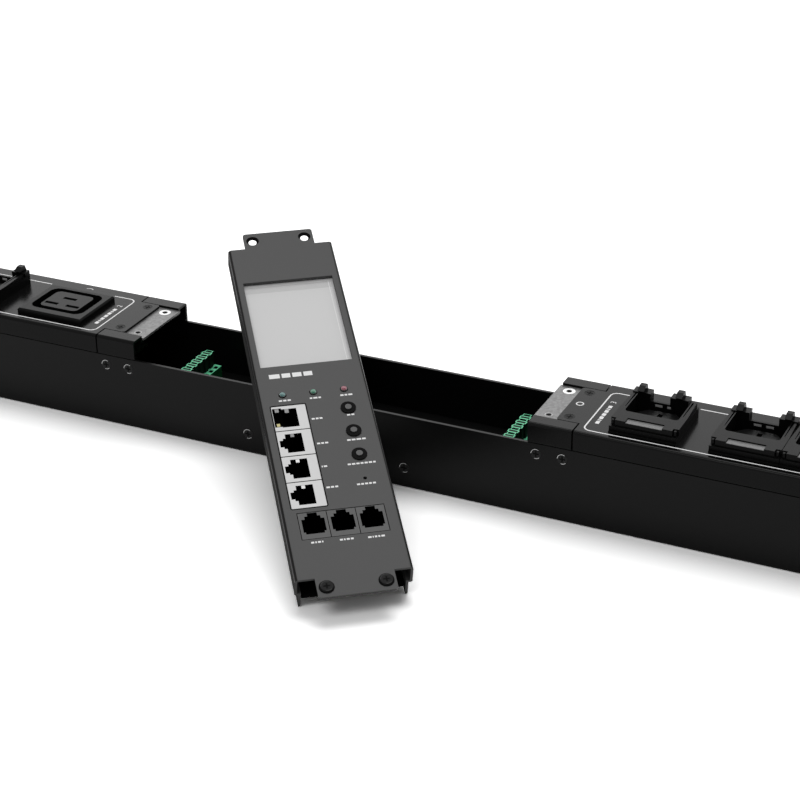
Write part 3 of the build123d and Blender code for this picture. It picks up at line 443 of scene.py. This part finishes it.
def dashes(widths: Sequence[float], height: float, gap: float = 0.45) -> list[list[Point]]:
    """Return a centred row of plain dashes.

    Args:
        widths: each dash's width.
        height: the dashes' height.
        gap: the space between two dashes.

    Returns:
        The dashes' outlines.
    """
    x = -(sum(widths) + gap * (len(widths) - 1)) / 2
    outlines: list[list[Point]] = []
    for width in widths:
        outlines.append(bar(x + width / 2, 0, width, height))
        x += width + gap
    return outlines


def numeral(
    name: str, text: str, place: Matrix, height: float, finish: Finish
) -> bpy.types.Object:
    """Print a plain number as a thin raised mesh.

    Args:
        name: the piece's name.
        text: the digits.
        place: the plane and the number's middle, in millimetres.
        height: the digits' height.
        finish: the ink.

    Returns:
        The printed number.
    """
    words = bpy.data.curves.new(name, "FONT")
    words.body = text
    words.size = height / DIGIT_PART
    words.align_x = "CENTER"
    words.align_y = "CENTER"
    words.extrude = PRINT_THICKNESS / 2
    words.resolution_u = 3
    holder = bpy.data.objects.new(name, words)
    bpy.context.scene.collection.objects.link(holder)
    bpy.context.view_layer.update()
    mesh = bpy.data.meshes.new_from_object(holder)
    bpy.data.objects.remove(holder)
    mesh.materials.clear()
    mesh.transform(in_metres(place @ Matrix.Translation((0, 0, PRINT_THICKNESS / 2))))
    return finished(name, mesh, finish)


def islands(node: bpy.types.Object) -> list[list[int]]:
    """Return the vertex numbers of each separate solid of a node."""
    parent = list(range(len(node.data.vertices)))

    def root(i: int) -> int:
        """Follow the links to an island's first vertex."""
        while parent[i] != i:
            parent[i] = parent[parent[i]]
            i = parent[i]
        return i

    same: dict[tuple, int] = {}
    for i, vertex in enumerate(node.data.vertices):
        key = tuple(round(c, 6) for c in vertex.co)
        parent[i] = root(same.setdefault(key, i))
    for edge in node.data.edges:
        parent[root(edge.vertices[0])] = root(edge.vertices[1])
    groups: dict[int, list[int]] = {}
    for i in range(len(parent)):
        groups.setdefault(root(i), []).append(i)
    return list(groups.values())


def rounded_frame(x: float, y: float, width: float, height: float, cut: float = 0.5) -> list[Point]:
    """Return a closed rectangle with its corners cut off, from its centre and size."""
    w, h = width / 2, height / 2
    corners = [(-w + cut, -h), (w - cut, -h), (w, -h + cut), (w, h - cut)]
    corners += [(w - cut, h), (-w + cut, h), (-w, h - cut), (-w, -h + cut)]
    return [(x + a, y + b) for a, b in corners]


def plane_at(origin: Vector, across: Vector, outward: Vector) -> Matrix:
    """Return a placement from its origin, its x direction and its outward normal, in millimetres."""
    up = outward.cross(across)
    turn = Matrix((across, up, outward)).transposed().to_4x4()
    return Matrix.Translation(origin) @ turn


def screw_recesses(
    name: str, screws: bpy.types.Object, outward: Vector, across: Vector, rim: Finish = SCREW_GLINT_PAINT
) -> None:
    """Put a dark cross and two glint arcs on each head of a set of screws that face one way: the cross is
    painted shade for the recess, the arcs are painted glints in the given finish.

    Args:
        name: the piece's name.
        screws: the node that holds the screws.
        outward: the way that the heads face. Screws that face another way are left out.
        across: a direction in the heads' plane.
        rim: the glints' finish; with the bright default they are a painted highlight, with a dark finish
            painted shade.
    """
    heads: list[Vector] = []
    for island in islands(screws):
        points = [screws.data.vertices[i].co / MM for i in island]
        top = max(p.dot(outward) for p in points)
        edge = [p for p in points if p.dot(outward) > top - 0.01]
        centre = sum(edge, Vector()) / len(edge)
        reach = max((p - centre).length for p in edge)
        if reach > LEAST_HEAD:
            heads.append(centre)
    origin = plane_at(heads[0], across, outward)
    to_plane = origin.inverted()
    crosses, glints = [], []
    for head in heads:
        spot = to_plane @ head
        if abs(spot.z) < 0.5:
            crosses.append(cross(spot.x, spot.y, *RECESS_SIZE))
            # two partial arcs near the head's edge, painted as glints
            circle = disc(spot.x, spot.y, reach - 0.25)
            glints += stroke(circle[4:13], GLINT_WIDTH) + stroke(circle[17:22], GLINT_WIDTH)
    plates(f"{name}_glint", glints, origin, FILM_THICKNESS, rim)
    # flat dark crosses on the heads: painted shade of their cross recesses
    plates(name, crosses, origin, FILM_THICKNESS, PAINTED_RECESS_SHADE)


# Sub-assemblies


@dataclass
class PowerUnit:
    """The long case with its covers, saddles and bay."""

    frame: dict
    line_width: float = 0.7
    outline_end: float = 135.5
    outline_front: float = -23.1
    outline_back: float = 18.6
    outline_corner: float = 3.5
    outline_margins: tuple[float, float] = (8.0, 6.0)
    outline_tuck: float = 1.0
    gap_ends: tuple[float, float] = (149.1, 189.3)
    arc_spot: tuple[float, float] = (-166.4, 20.3)
    arc_radii: tuple[float, float] = (2.1, 1.5)
    arc_width: float = 0.8
    word_x: float = 139.6
    word_y: float = -5.2
    numeral_y: float = 8.6
    numeral_height: float = 2.9
    dash_height: float = 1.9
    dash_gap: float = 0.8
    dash_widths: tuple[float, ...] = (2.7, 0.9, 2.7, 2.7, 2.7, 0.9, 2.4)
    tongue_ring_spot: tuple[float, float] = (125.1, 0.9)
    tongue_ring_radius: float = 1.7
    tongue_ring_width: float = 0.6
    plate_hole_x: float = 114.7
    plate_hole_y: float = 13.5
    hole_highlight_radii: tuple[float, float] = (1.5, 3.1)
    pole_pitch: float = 5.08
    plug_nose_half: float = 2.8
    plug_walls: tuple[float, float, float] = (0.9, 0.4, 0.7)
    cell: tuple[float, float] = (4.5, 1.6)
    cell_shift: float = -1.25

    def dress(self) -> None:
        """Add the case's prints, painted highlights round the plate holes, painted light and shade on the
        plug faces, and screw recesses with their painted shade and glints.
        """
        self.print_outlines()
        self.print_arc()
        self.print_words()
        self.add_hole_highlights()
        self.paint_plugs()
        self.add_recesses()

    @property
    def top(self) -> float:
        """Height of the covers' tops."""
        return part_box("cover_left")[1].z / MM

    @property
    def outline_far(self) -> float:
        """Distance of the outlines' outer ends from the middle."""
        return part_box("retention_frame_1")[0].x / -MM + self.outline_margins[0]

    def print_outlines(self) -> None:
        """Print the white line round each side's group of outlets."""
        place = Matrix.Translation((0, 0, self.top))
        far, end, gap = self.outline_far, self.outline_end, self.gap_ends
        near_gap = [(-gap[0], self.outline_back), (-end, self.outline_back)]
        near_gap += [(-end, self.outline_front), (-far, self.outline_front)]
        near_gap += [(-far, self.outline_back), (-gap[1], self.outline_back)]
        left = stroke(rounded(near_gap, self.outline_corner), self.line_width)
        plates("outline_print_left", left, place, PRINT_THICKNESS, WHITE_PRINT)
        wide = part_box("c19_housing_2")[1].x / MM + self.outline_margins[1]
        first, second, third = (self.frame_ends(i) for i in (4, 5, 6))
        under = self.outline_tuck
        round_right = [(first[0] + under, self.outline_back), (end, self.outline_back)]
        round_right += [(end, self.outline_front), (wide, self.outline_front)]
        round_right += [(wide, self.outline_back), (third[1] - under, self.outline_back)]
        right = stroke(rounded(round_right, self.outline_corner), self.line_width)
        between = (first[1] + second[0]) / 2
        width = second[0] - first[1] + 2 * under
        right.append(bar(between, self.outline_back, width, self.line_width))
        plates("outline_print_right", right, place, PRINT_THICKNESS, WHITE_PRINT)

    def frame_ends(self, number: int) -> tuple[float, float]:
        """Return where a retention frame starts and ends along the unit."""
        low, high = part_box(f"retention_frame_{number}")
        return low.x / MM, high.x / MM

    def print_arc(self) -> None:
        """Print the small crescent between the ends of the left outline."""
        place = Matrix.Translation((*self.arc_spot, self.top))
        start, sweep, steps = 0.12, 0.76, 8
        turns = [math.pi * (start + sweep * i / steps) for i in range(steps + 1)]
        across, deep = self.arc_radii
        arc = [(across * math.cos(t), deep * math.sin(t)) for t in turns]
        plates("crescent_print", stroke(arc, self.arc_width), place, PRINT_THICKNESS, SOFT_PRINT)

    def print_words(self) -> None:
        """Print each group's dashes and number, and the small ring on the right tongue."""
        for side, number in ((-1, "2"), (1, "3")):
            turn = Matrix.Rotation(math.pi / 2, 4, "Z")
            place = Matrix.Translation((side * self.word_x, self.word_y, self.top)) @ turn
            row = dashes(self.dash_widths, self.dash_height, self.dash_gap)
            plates(f"group_word_print_{number}", row, place, PRINT_THICKNESS, WHITE_PRINT)
            spot = Matrix.Translation((side * self.word_x, self.numeral_y, self.top)) @ turn
            numeral(f"group_number_print_{number}", number, spot, self.numeral_height, WHITE_PRINT)
        ring = stroke(disc(0, 0, self.tongue_ring_radius, 20), self.tongue_ring_width, closed=True)
        place = Matrix.Translation((*self.tongue_ring_spot, self.top))
        plates("tongue_ring_print", ring, place, PRINT_THICKNESS, WHITE_PRINT)

    def add_hole_highlights(self) -> None:
        """Lay a wide bright ring on the pressed rim round each bridge plate's back hole, and a thin lighter
        one round its front hole: both are painted highlights.
        """
        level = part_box("bridge_plate_left")[1].z / MM
        inner, outer = self.hole_highlight_radii
        back = ("back", self.plate_hole_y, (inner + outer) / 2, outer - inner, HOLE_RIM_HIGHLIGHT)
        front = ("front", -self.plate_hole_y, inner + 0.25, 0.35, HOLE_EDGE_HIGHLIGHT)
        for side, x in (("left", -self.plate_hole_x), ("right", self.plate_hole_x)):
            for end, y, radius, width, finish in (back, front):
                place = Matrix.Translation((x, y, level))
                ring = stroke(disc(0, 0, radius, 28), width, closed=True)
                plates(f"plate_rim_{side}_{end}", ring, place, 0.05, finish)

    def paint_plugs(self) -> None:
        """Paint light onto the plugs' upward faces, paler than their own green, and paint shade into their
        contact cells and over the cells' mouths.
        """
        for name in ("plug_block_left", "plug_block_right"):
            node = self.frame["nodes"][name]
            low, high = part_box(name)
            # painted light: every upward face paler
            paint_faces(node, PLUG_TOP_PAINTED_LIGHT, lambda node, face: face.normal.z > 0.9)
            inner_low, inner_high = low.x + self.plug_walls[0] * MM, high.x - self.plug_walls[1] * MM
            end_wall = self.plug_walls[2] * MM
            # painted shade on the cells' inner walls
            paint_faces(
                node,
                PLUG_CELL_PAINTED_SHADE,
                lambda node, face: (
                    inner_low < face.center.x < inner_high
                    and low.y + end_wall < face.center.y < high.y - end_wall
                    and abs(face.normal.z) < 0.5
                ),
            )
            # dark plates over the cells' mouths: painted shade
            middle = low.x / MM + self.plug_nose_half
            cells = [bar(middle, (i - 2) * self.pole_pitch + self.cell_shift, *self.cell) for i in range(5)]
            top = Matrix.Translation((0, 0, high.z / MM))
            plates(f"{name}_cells", cells, top, FILM_THICKNESS, PLUG_CELL_PAINTED_SHADE)

    def add_recesses(self) -> None:
        """Put a painted dark cross, the shade of a recess, on every visible screw of the case, with painted
        glints on the side and tray screws and dark arcs of painted shade on the tongue screws.
        """
        nodes = self.frame["nodes"]
        along = Vector((1, 0, 0))
        for side, outward in (("front", Vector((0, -1, 0))), ("back", Vector((0, 1, 0)))):
            for kind in ("saddle_screws", "tray_screws"):
                screw_recesses(f"{kind}_{side}_recess", nodes[kind], outward, along)
        up = Vector((0, 0, 1))
        # the tongue screws' arcs are dark: painted shade in place of glints
        screw_recesses("tongue_screw_recess", nodes["tongue_screws"], up, along, PAINTED_RECESS_SHADE)


@dataclass(frozen=True)
class Word:
    """One row of printed dashes on the module: its middle, its dashes' widths, their height and gap."""

    name: str
    u: float
    v: float
    widths: tuple[float, ...]
    height: float = 1.0
    gap: float = 0.5


WORDS = (
    Word("run", -14.4, 109.5, (1.6, 1.6, 1.6)),
    Word("meter", 0.4, 109.3, (1.2, 2.0, 1.2)),
    Word("alert", 15.5, 109.2, (1.6, 1.3, 2.0)),
    Word("port_1", -1.0, 95.8, (1.5, 1.3, 1.4)),
    Word("port_2", -1.0, 79.8, (1.5, 1.3, 1.5)),
    Word("port_3", -2.6, 65.2, (0.5, 1.6)),
    Word("port_4", -1.1, 52.1, (1.6, 1.5, 1.4)),
    Word("up", 15.3, 96.0, (1.6, 1.4)),
    Word("down", 15.2, 79.9, (1.7, 1.8, 2.2, 1.7)),
    Word("control", 15.0, 64.7, (1.5, 1.6, 1.5, 1.4, 1.5, 1.6, 1.2)),
    Word("reset", 14.9, 51.9, (1.5, 1.3, 1.4, 1.3, 1.4)),
    Word("small_port_1", -13.4, 20.5, (1.4, 0.7, 1.4, 0.6)),
    Word("small_port_2", 0.1, 20.3, (1.4, 0.7, 1.4, 1.3)),
    Word("small_port_3", 13.7, 19.9, (1.6, 0.5, 1.1, 0.9, 1.6)),
    Word("mark", -9.0, 126.0, (5.2, 4.2, 4.5, 4.3), height=2.8, gap=1.0),
)


@dataclass
class MeteringModule:
    """The module that leans on the case: its own frame comes from the solids."""

    frame: dict
    tab_length: float = 11.1
    lamp_gap: float = 15.0
    lamp_rise: float = 0.5
    lamp_v: float = 113.1
    lamp_ring_radius: float = 1.75
    lamp_ring_width: float = 0.4
    lamp_facets: tuple[tuple[float, float, float], ...] = (
        (1.4, 0.0, 0.25),
        (1.1, 0.25, 0.2),
        (0.7, 0.45, 0.2),
    )
    jack_u: float = -13.5
    jack_top_v: float = 98.2
    jack_pitch: float = 16.3
    jack_count: int = 4
    well_slack: float = 0.1
    well_depths: tuple[float, float] = (-16.0, -0.5)
    window: tuple[float, float, float, float] = (-22.8, 22.8, 132.7, 193.0)
    tab_hole_u: float = 13.5
    tab_hole_v: float = 5.5
    tab_hole_reach: float = 3.4
    shade_sheet_depth: float = 13.2
    shade_sheet_length: float = 12.0
    shade_sheet_width: float = 47.6
    shade_sheet_thickness: float = 0.25

    def __post_init__(self) -> None:
        """Work out the module's directions and corner from the panel and the keys' travel."""
        joint = self.frame["joints"][0]
        normal = -Vector(joint["axis"]).normalized()
        across = Vector((-normal.y, normal.x, 0)).normalized()
        along = normal.cross(across)
        points = [v.co / MM for v in self.frame["nodes"]["module_panel"].data.vertices]
        face = max(p.dot(normal) for p in points)
        low = min(p.dot(along) for p in points) + self.tab_length
        self.length = max(p.dot(along) for p in points) - self.tab_length - low
        sides = [p.dot(across) for p in points]
        middle = (min(sides) + max(sides)) / 2
        origin = across * middle + along * low + normal * face
        self.place = plane_at(origin, across, normal)

    def at(self, u: float, v: float, w: float = 0.0) -> Matrix:
        """Return a placement on the panel.

        Args:
            u: distance across, from the panel's middle line.
            v: distance up, from the panel's lower edge.
            w: height above the panel's face.

        Returns:
            The placement in millimetres, with x across and y up along the panel.
        """
        return self.place @ Matrix.Translation((u, v, w))

    def local(self, point: Vector) -> Vector:
        """Return a point of the row frame, in metres, in the module's own millimetres."""
        return self.place.inverted() @ (point / MM)

    def dress(self) -> None:
        """Add everything that the module's solids don't have."""
        self.add_lamps()
        self.print_marks()
        self.dress_display()
        self.dress_jacks()
        self.paint_panel()
        self.add_end_shade_sheets()
        self.add_recesses()

    def paint_panel(self) -> None:
        """Paint shade onto the panel's folds and flanks, darker than the panel's own grey, and into the
        countersinks of its tabs.
        """
        normal = Vector(self.place.col[2][:3])
        across = Vector(self.place.col[0][:3])
        panel = self.frame["nodes"]["module_panel"]
        paint_faces(
            panel,
            FOLD_PAINTED_SHADE,
            lambda node, face: (
                abs(face.normal.dot(across)) > 0.15 and 0.1 < face.normal.dot(normal) < 0.97
            ),
        )
        paint_faces(panel, FLANK_PAINTED_SHADE, lambda node, face: abs(face.normal.dot(across)) > 0.99)
        # painted shade in the tabs' countersinks
        paint_faces(panel, PAINTED_RECESS_SHADE, self.is_countersink)

    def is_countersink(self, node: bpy.types.Object, face: bpy.types.MeshPolygon) -> bool:
        """Tell whether a face is in a tab's screw hole."""
        middle = self.local(face.center)
        beyond = max(-middle.y, middle.y - self.length) - self.tab_hole_v
        leaning = face.normal.dot(Vector(self.place.col[2][:3])) < 0.9
        aside = abs(middle.x) - self.tab_hole_u
        return leaning and max(abs(beyond), abs(aside)) < self.tab_hole_reach

    def add_end_shade_sheets(self) -> None:
        """Lay a black sheet of painted shade that closes each end of the board's space, where the inside lies
        in shade.
        """
        depth = -self.shade_sheet_depth
        for name, v in (("lower", self.shade_sheet_length / 2), ("upper", self.length - self.shade_sheet_length / 2)):
            film = [bar(0, v, self.shade_sheet_width, self.shade_sheet_length)]
            plates(f"insulating_film_{name}", film, self.at(0, 0, depth), self.shade_sheet_thickness, END_PAINTED_SHADE)

    def add_lamps(self) -> None:
        """Set a faceted lens in a dark ring of painted shade on each status lamp."""
        finishes = (LAMP_TEAL, LAMP_GREEN, LAMP_RED)
        for i, finish in enumerate(finishes):
            u = (i - 1) * self.lamp_gap
            # the dark ring round each lens is painted shade
            ring = stroke(disc(0, 0, self.lamp_ring_radius), self.lamp_ring_width, closed=True)
            place = self.at(u, self.lamp_v)
            plates(f"lamp_ring_{i + 1}", ring, place, PRINT_THICKNESS, PAINTED_RECESS_SHADE)
            for radius, rise, step in self.lamp_facets:
                place = self.at(u, self.lamp_v, self.lamp_rise + rise)
                plates(f"lamp_lens_{i + 1}_{int(rise * 100)}", [disc(0, 0, radius, 8)], place, step, finish)

    def print_marks(self) -> None:
        """Print the panel's rows of dashes."""
        for word in WORDS:
            row = dashes(word.widths, word.height, word.gap)
            place = self.at(word.u, word.v)
            plates(f"{word.name}_print", row, place, PRINT_THICKNESS, WHITE_PRINT)

    def dress_display(self) -> None:
        """Lay the display's film, its darker upper band and pale lines along its top and right edges on its
        face, all with a faint painted glow.
        """
        low_u, high_u, low_v, high_v = self.window
        normal = Vector(self.place.col[2][:3])
        points = [v.co / MM for v in self.frame["nodes"]["display_panel"].data.vertices]
        level = max(p.dot(normal) for p in points) - self.place.translation.dot(normal)
        width, height, middle_v = high_u - low_u, high_v - low_v, (low_v + high_v) / 2
        film = [bar(0, middle_v, width + 1.0, height + 1.0)]
        plates("display_film", film, self.at(0, 0, level), FILM_THICKNESS, DISPLAY_FACE_GLOWING)
        band = [bar(0, high_v - 3.3, width - 1.2, 4.6)]
        plates("display_band_glowing", band, self.at(0, 0, level + FILM_THICKNESS), 0.02, DISPLAY_BAND_GLOWING)
        pale_lines = [bar(high_u - 2.2, middle_v, 0.35, height - 1.0), bar(0, high_v - 0.8, width - 1.0, 0.5)]
        place = self.at(0, 0, level + FILM_THICKNESS + 0.02)
        plates("display_pale_lines", pale_lines, place, FILM_THICKNESS, DISPLAY_EDGE_GLOWING)

    def dress_jacks(self) -> None:
        """Paint shade into the jacks' wells, lay a dark sheet and a dark line of painted shade in the first
        jack and round the cutout, and set the small windows in the network jacks.
        """
        for name, node in self.frame["nodes"].items():
            if name.startswith("network_jack_") or name == "small_jacks":
                paint_faces(node, JACK_WELL_PAINTED_SHADE, self.is_well)
        top = self.jack_top_v
        # a dark sheet in the first jack's opening: painted shade
        side = [bar(-19.3, top + 0.6, 4.4, 12.0)]
        plates("jack_1_shade_sheet", side, self.at(0, 0, -0.1), FILM_THICKNESS, JACK_WELL_PAINTED_SHADE)
        middle = top - (self.jack_count - 1) / 2 * self.jack_pitch
        # a dark line round the jacks' cutout: painted shade of its clearance gap
        edge = rounded_frame(self.jack_u, middle, 17.1, self.jack_count * self.jack_pitch + 0.1)
        outline = stroke(edge, 0.6, closed=True)
        plates("jack_cutout_gap_shade", outline, self.at(0, 0), FILM_THICKNESS, PAINTED_RECESS_SHADE)
        lights = (JACK_SMOKED, JACK_LIGHT, JACK_LIGHT)
        for i, finish in enumerate(lights, start=1):
            window = [bar(-14.4, top - i * self.jack_pitch + 4.9, 1.7, 1.9)]
            plates(f"jack_window_{i + 1}", window, self.at(0, 0, -0.4), 0.2, finish)
        sunk = self.at(0, 0, -0.08)
        pair = [bar(-19.3, top + 5.2, 1.9, 2.2), bar(-14.6, top + 4.6, 1.9, 2.6)]
        plates("jack_window_1", pair, sunk, FILM_THICKNESS, JACK_SMOKED)
        amber = [bar(-19.8, top - 4.2, 1.6, 1.8)]
        plates("jack_amber_1", amber, sunk, FILM_THICKNESS, JACK_AMBER)

    def is_well(self, node: bpy.types.Object, face: bpy.types.MeshPolygon) -> bool:
        """Tell whether a face is inside a jack's well, where shade is painted, and not on its outside."""
        points = [self.local(v.co) for v in node.data.vertices]
        u_low, u_high = min(p.x for p in points), max(p.x for p in points)
        v_low, v_high = min(p.y for p in points), max(p.y for p in points)
        middle = self.local(face.center)
        inside_u = u_low - self.well_slack < middle.x < u_high + self.well_slack
        inside_v = v_low - self.well_slack < middle.y < v_high + self.well_slack
        deepest, highest = self.well_depths
        return inside_u and inside_v and deepest < middle.z < highest

    def add_recesses(self) -> None:
        """Put a painted dark cross, the shade of a recess, on the module's two screws, with dark arcs of
        painted shade in place of glints.
        """
        node = self.frame["nodes"]["module_screws"]
        across = Vector(self.place.col[0][:3])
        normal = Vector(self.place.col[2][:3])
        screw_recesses("module_screw_recess", node, normal, across, FOLD_PAINTED_SHADE)


def paint_faces(
    node: bpy.types.Object,
    finish: Finish,
    chosen: Callable[[bpy.types.Object, bpy.types.MeshPolygon], bool],
) -> None:
    """Give some faces of a node a second finish.

    Args:
        node: the node.
        finish: the finish of the chosen faces.
        chosen: tells whether a face gets the finish.
    """
    node.data.materials.append(finish.material())
    number = len(node.data.materials) - 1
    for face in node.data.polygons:
        if chosen(node, face):
            face.material_index = number


def finish_nodes(frame: dict) -> None:
    """Give every CAD node its finish."""
    for name, node in frame["nodes"].items():
        matches = [key for key in NODE_FINISHES if name.startswith(key)]
        finish = NODE_FINISHES[max(matches, key=len)]
        node.data.materials.clear()
        node.data.materials.append(finish.material())


# Stage


@dataclass(frozen=True)
class SoftBox:
    """A rectangular soft light: its place and size in metres, and its power in watts."""

    name: str
    place: tuple[float, float, float]
    size: tuple[float, float]
    power: float

    def build(self) -> None:
        """Hang the light, aimed at the unit's middle."""
        lamp = bpy.data.lights.new(self.name, "AREA")
        lamp.shape = "RECTANGLE"
        lamp.size, lamp.size_y = self.size
        lamp.energy = self.power
        box = bpy.data.objects.new(self.name, lamp)
        box.location = self.place
        box.rotation_euler = (-box.location).to_track_quat("-Z", "Y").to_euler()
        bpy.context.scene.collection.objects.link(box)


SOFT_BOXES = (
    SoftBox("front_box", (0.1, -1.7, 2.3), (1.5, 1.0), 18.0),
    SoftBox("top_box", (0.0, 0.7, 2.5), (1.8, 1.2), 30.0),
    SoftBox("back_box", (-1.0, 2.25, 1.2), (2.8, 1.7), 19.0),
)


@dataclass(frozen=True)
class Studio:
    """The pale floor, the soft light and the camera."""

    camera_place: tuple[float, float, float] = (436.255, -842.422, 512.312)
    yaw: float = -25.778
    pitch: float = 27.142
    roll: float = -0.947
    focal_pixels: float = 2093.44
    picture_pixels: float = 800.0
    sensor: float = 36.0
    world_strength: float = 0.32
    floor_shade: float = 0.9
    floor_seen: float = 1.55

    def build(self) -> None:
        """Make the floor, the lights, the world and the camera."""
        self.make_floor()
        self.make_world()
        for light in SOFT_BOXES:
            light.build()
        self.make_camera()
        bpy.context.scene.view_settings.view_transform = "Standard"

    def make_floor(self) -> None:
        """Lay a wide pale floor under the unit."""
        half = 6.0
        mesh = bpy.data.meshes.new("floor")
        corners = [(-half, -half, 0), (half, -half, 0), (half, half, 0), (-half, half, 0)]
        mesh.from_pydata(corners, [], [(0, 1, 2, 3)])
        floor = bpy.data.objects.new("floor", mesh)
        mesh.materials.append(self.floor_material())
        floor.location.z = -0.0002
        bpy.context.scene.collection.objects.link(floor)

    def floor_material(self) -> bpy.types.Material:
        """Return the floor's matt white, which the camera sees a little brighter."""
        made = bpy.data.materials.new("floor_white")
        made.use_nodes = True
        nodes, links = made.node_tree.nodes, made.node_tree.links
        nodes.clear()
        out = nodes.new("ShaderNodeOutputMaterial")
        matt = nodes.new("ShaderNodeBsdfDiffuse")
        shade = nodes.new("ShaderNodeMapRange")
        shade.inputs["To Min"].default_value = self.floor_shade
        shade.inputs["To Max"].default_value = self.floor_seen
        links.new(self.seen_rays(nodes, links), shade.inputs["Value"])
        links.new(shade.outputs["Result"], matt.inputs["Color"])
        links.new(matt.outputs["BSDF"], out.inputs["Surface"])
        return made

    def make_world(self) -> None:
        """Make an even pale world that the camera sees as white."""
        world = bpy.data.worlds.new("studio")
        bpy.context.scene.world = world
        world.use_nodes = True
        nodes, links = world.node_tree.nodes, world.node_tree.links
        nodes.clear()
        out = nodes.new("ShaderNodeOutputWorld")
        light = nodes.new("ShaderNodeBackground")
        light.inputs["Strength"].default_value = self.world_strength
        backdrop = nodes.new("ShaderNodeBackground")
        backdrop.inputs["Color"].default_value = (1, 1, 1, 1)
        mix = nodes.new("ShaderNodeMixShader")
        links.new(self.seen_rays(nodes, links), mix.inputs["Fac"])
        links.new(light.outputs["Background"], mix.inputs[1])
        links.new(backdrop.outputs["Background"], mix.inputs[2])
        links.new(mix.outputs["Shader"], out.inputs["Surface"])

    @staticmethod
    def seen_rays(nodes: bpy.types.Nodes, links: bpy.types.NodeLinks) -> bpy.types.NodeSocket:
        """Return a socket that is 1 where the background is seen, mirrored or looked at through glass."""
        path = nodes.new("ShaderNodeLightPath")
        total = path.outputs["Is Camera Ray"]
        for kind in ("Is Glossy Ray", "Is Transmission Ray"):
            seen = nodes.new("ShaderNodeMath")
            seen.operation = "ADD"
            seen.use_clamp = True
            links.new(total, seen.inputs[0])
            links.new(path.outputs[kind], seen.inputs[1])
            total = seen.outputs["Value"]
        return total

    def make_camera(self) -> None:
        """Put the camera where the photograph was taken from."""
        yaw, pitch, roll = (math.radians(a) for a in (self.yaw, self.pitch, self.roll))
        ahead = Vector(
            (math.sin(yaw) * math.cos(pitch), math.cos(yaw) * math.cos(pitch), -math.sin(pitch))
        )
        level = Vector((math.cos(yaw), -math.sin(yaw), 0))
        drop = ahead.cross(level)
        right = math.cos(roll) * level - math.sin(roll) * drop
        down = math.sin(roll) * level + math.cos(roll) * drop
        data = bpy.data.cameras.new("photo_camera")
        data.sensor_width = self.sensor
        data.lens = self.focal_pixels / self.picture_pixels * self.sensor
        data.clip_start, data.clip_end = 0.05, 50.0
        camera = bpy.data.objects.new("photo_camera", data)
        turn = Matrix((right, -down, -ahead)).transposed().to_4x4()
        camera.matrix_world = Matrix.Translation(Vector(self.camera_place) * MM) @ turn
        bpy.context.scene.collection.objects.link(camera)
        bpy.context.scene.camera = camera


def main() -> None:
    """Build the looks of the unit, sub-assembly by sub-assembly."""
    logging.basicConfig(level=logging.INFO, format="%(name)s %(message)s")
    for item in list(bpy.data.objects):
        bpy.data.objects.remove(item)
    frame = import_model()
    finish_nodes(frame)
    PowerUnit(frame).dress()
    MeteringModule(frame).dress()
    Studio().build()


if __name__ == "__main__":
    main()
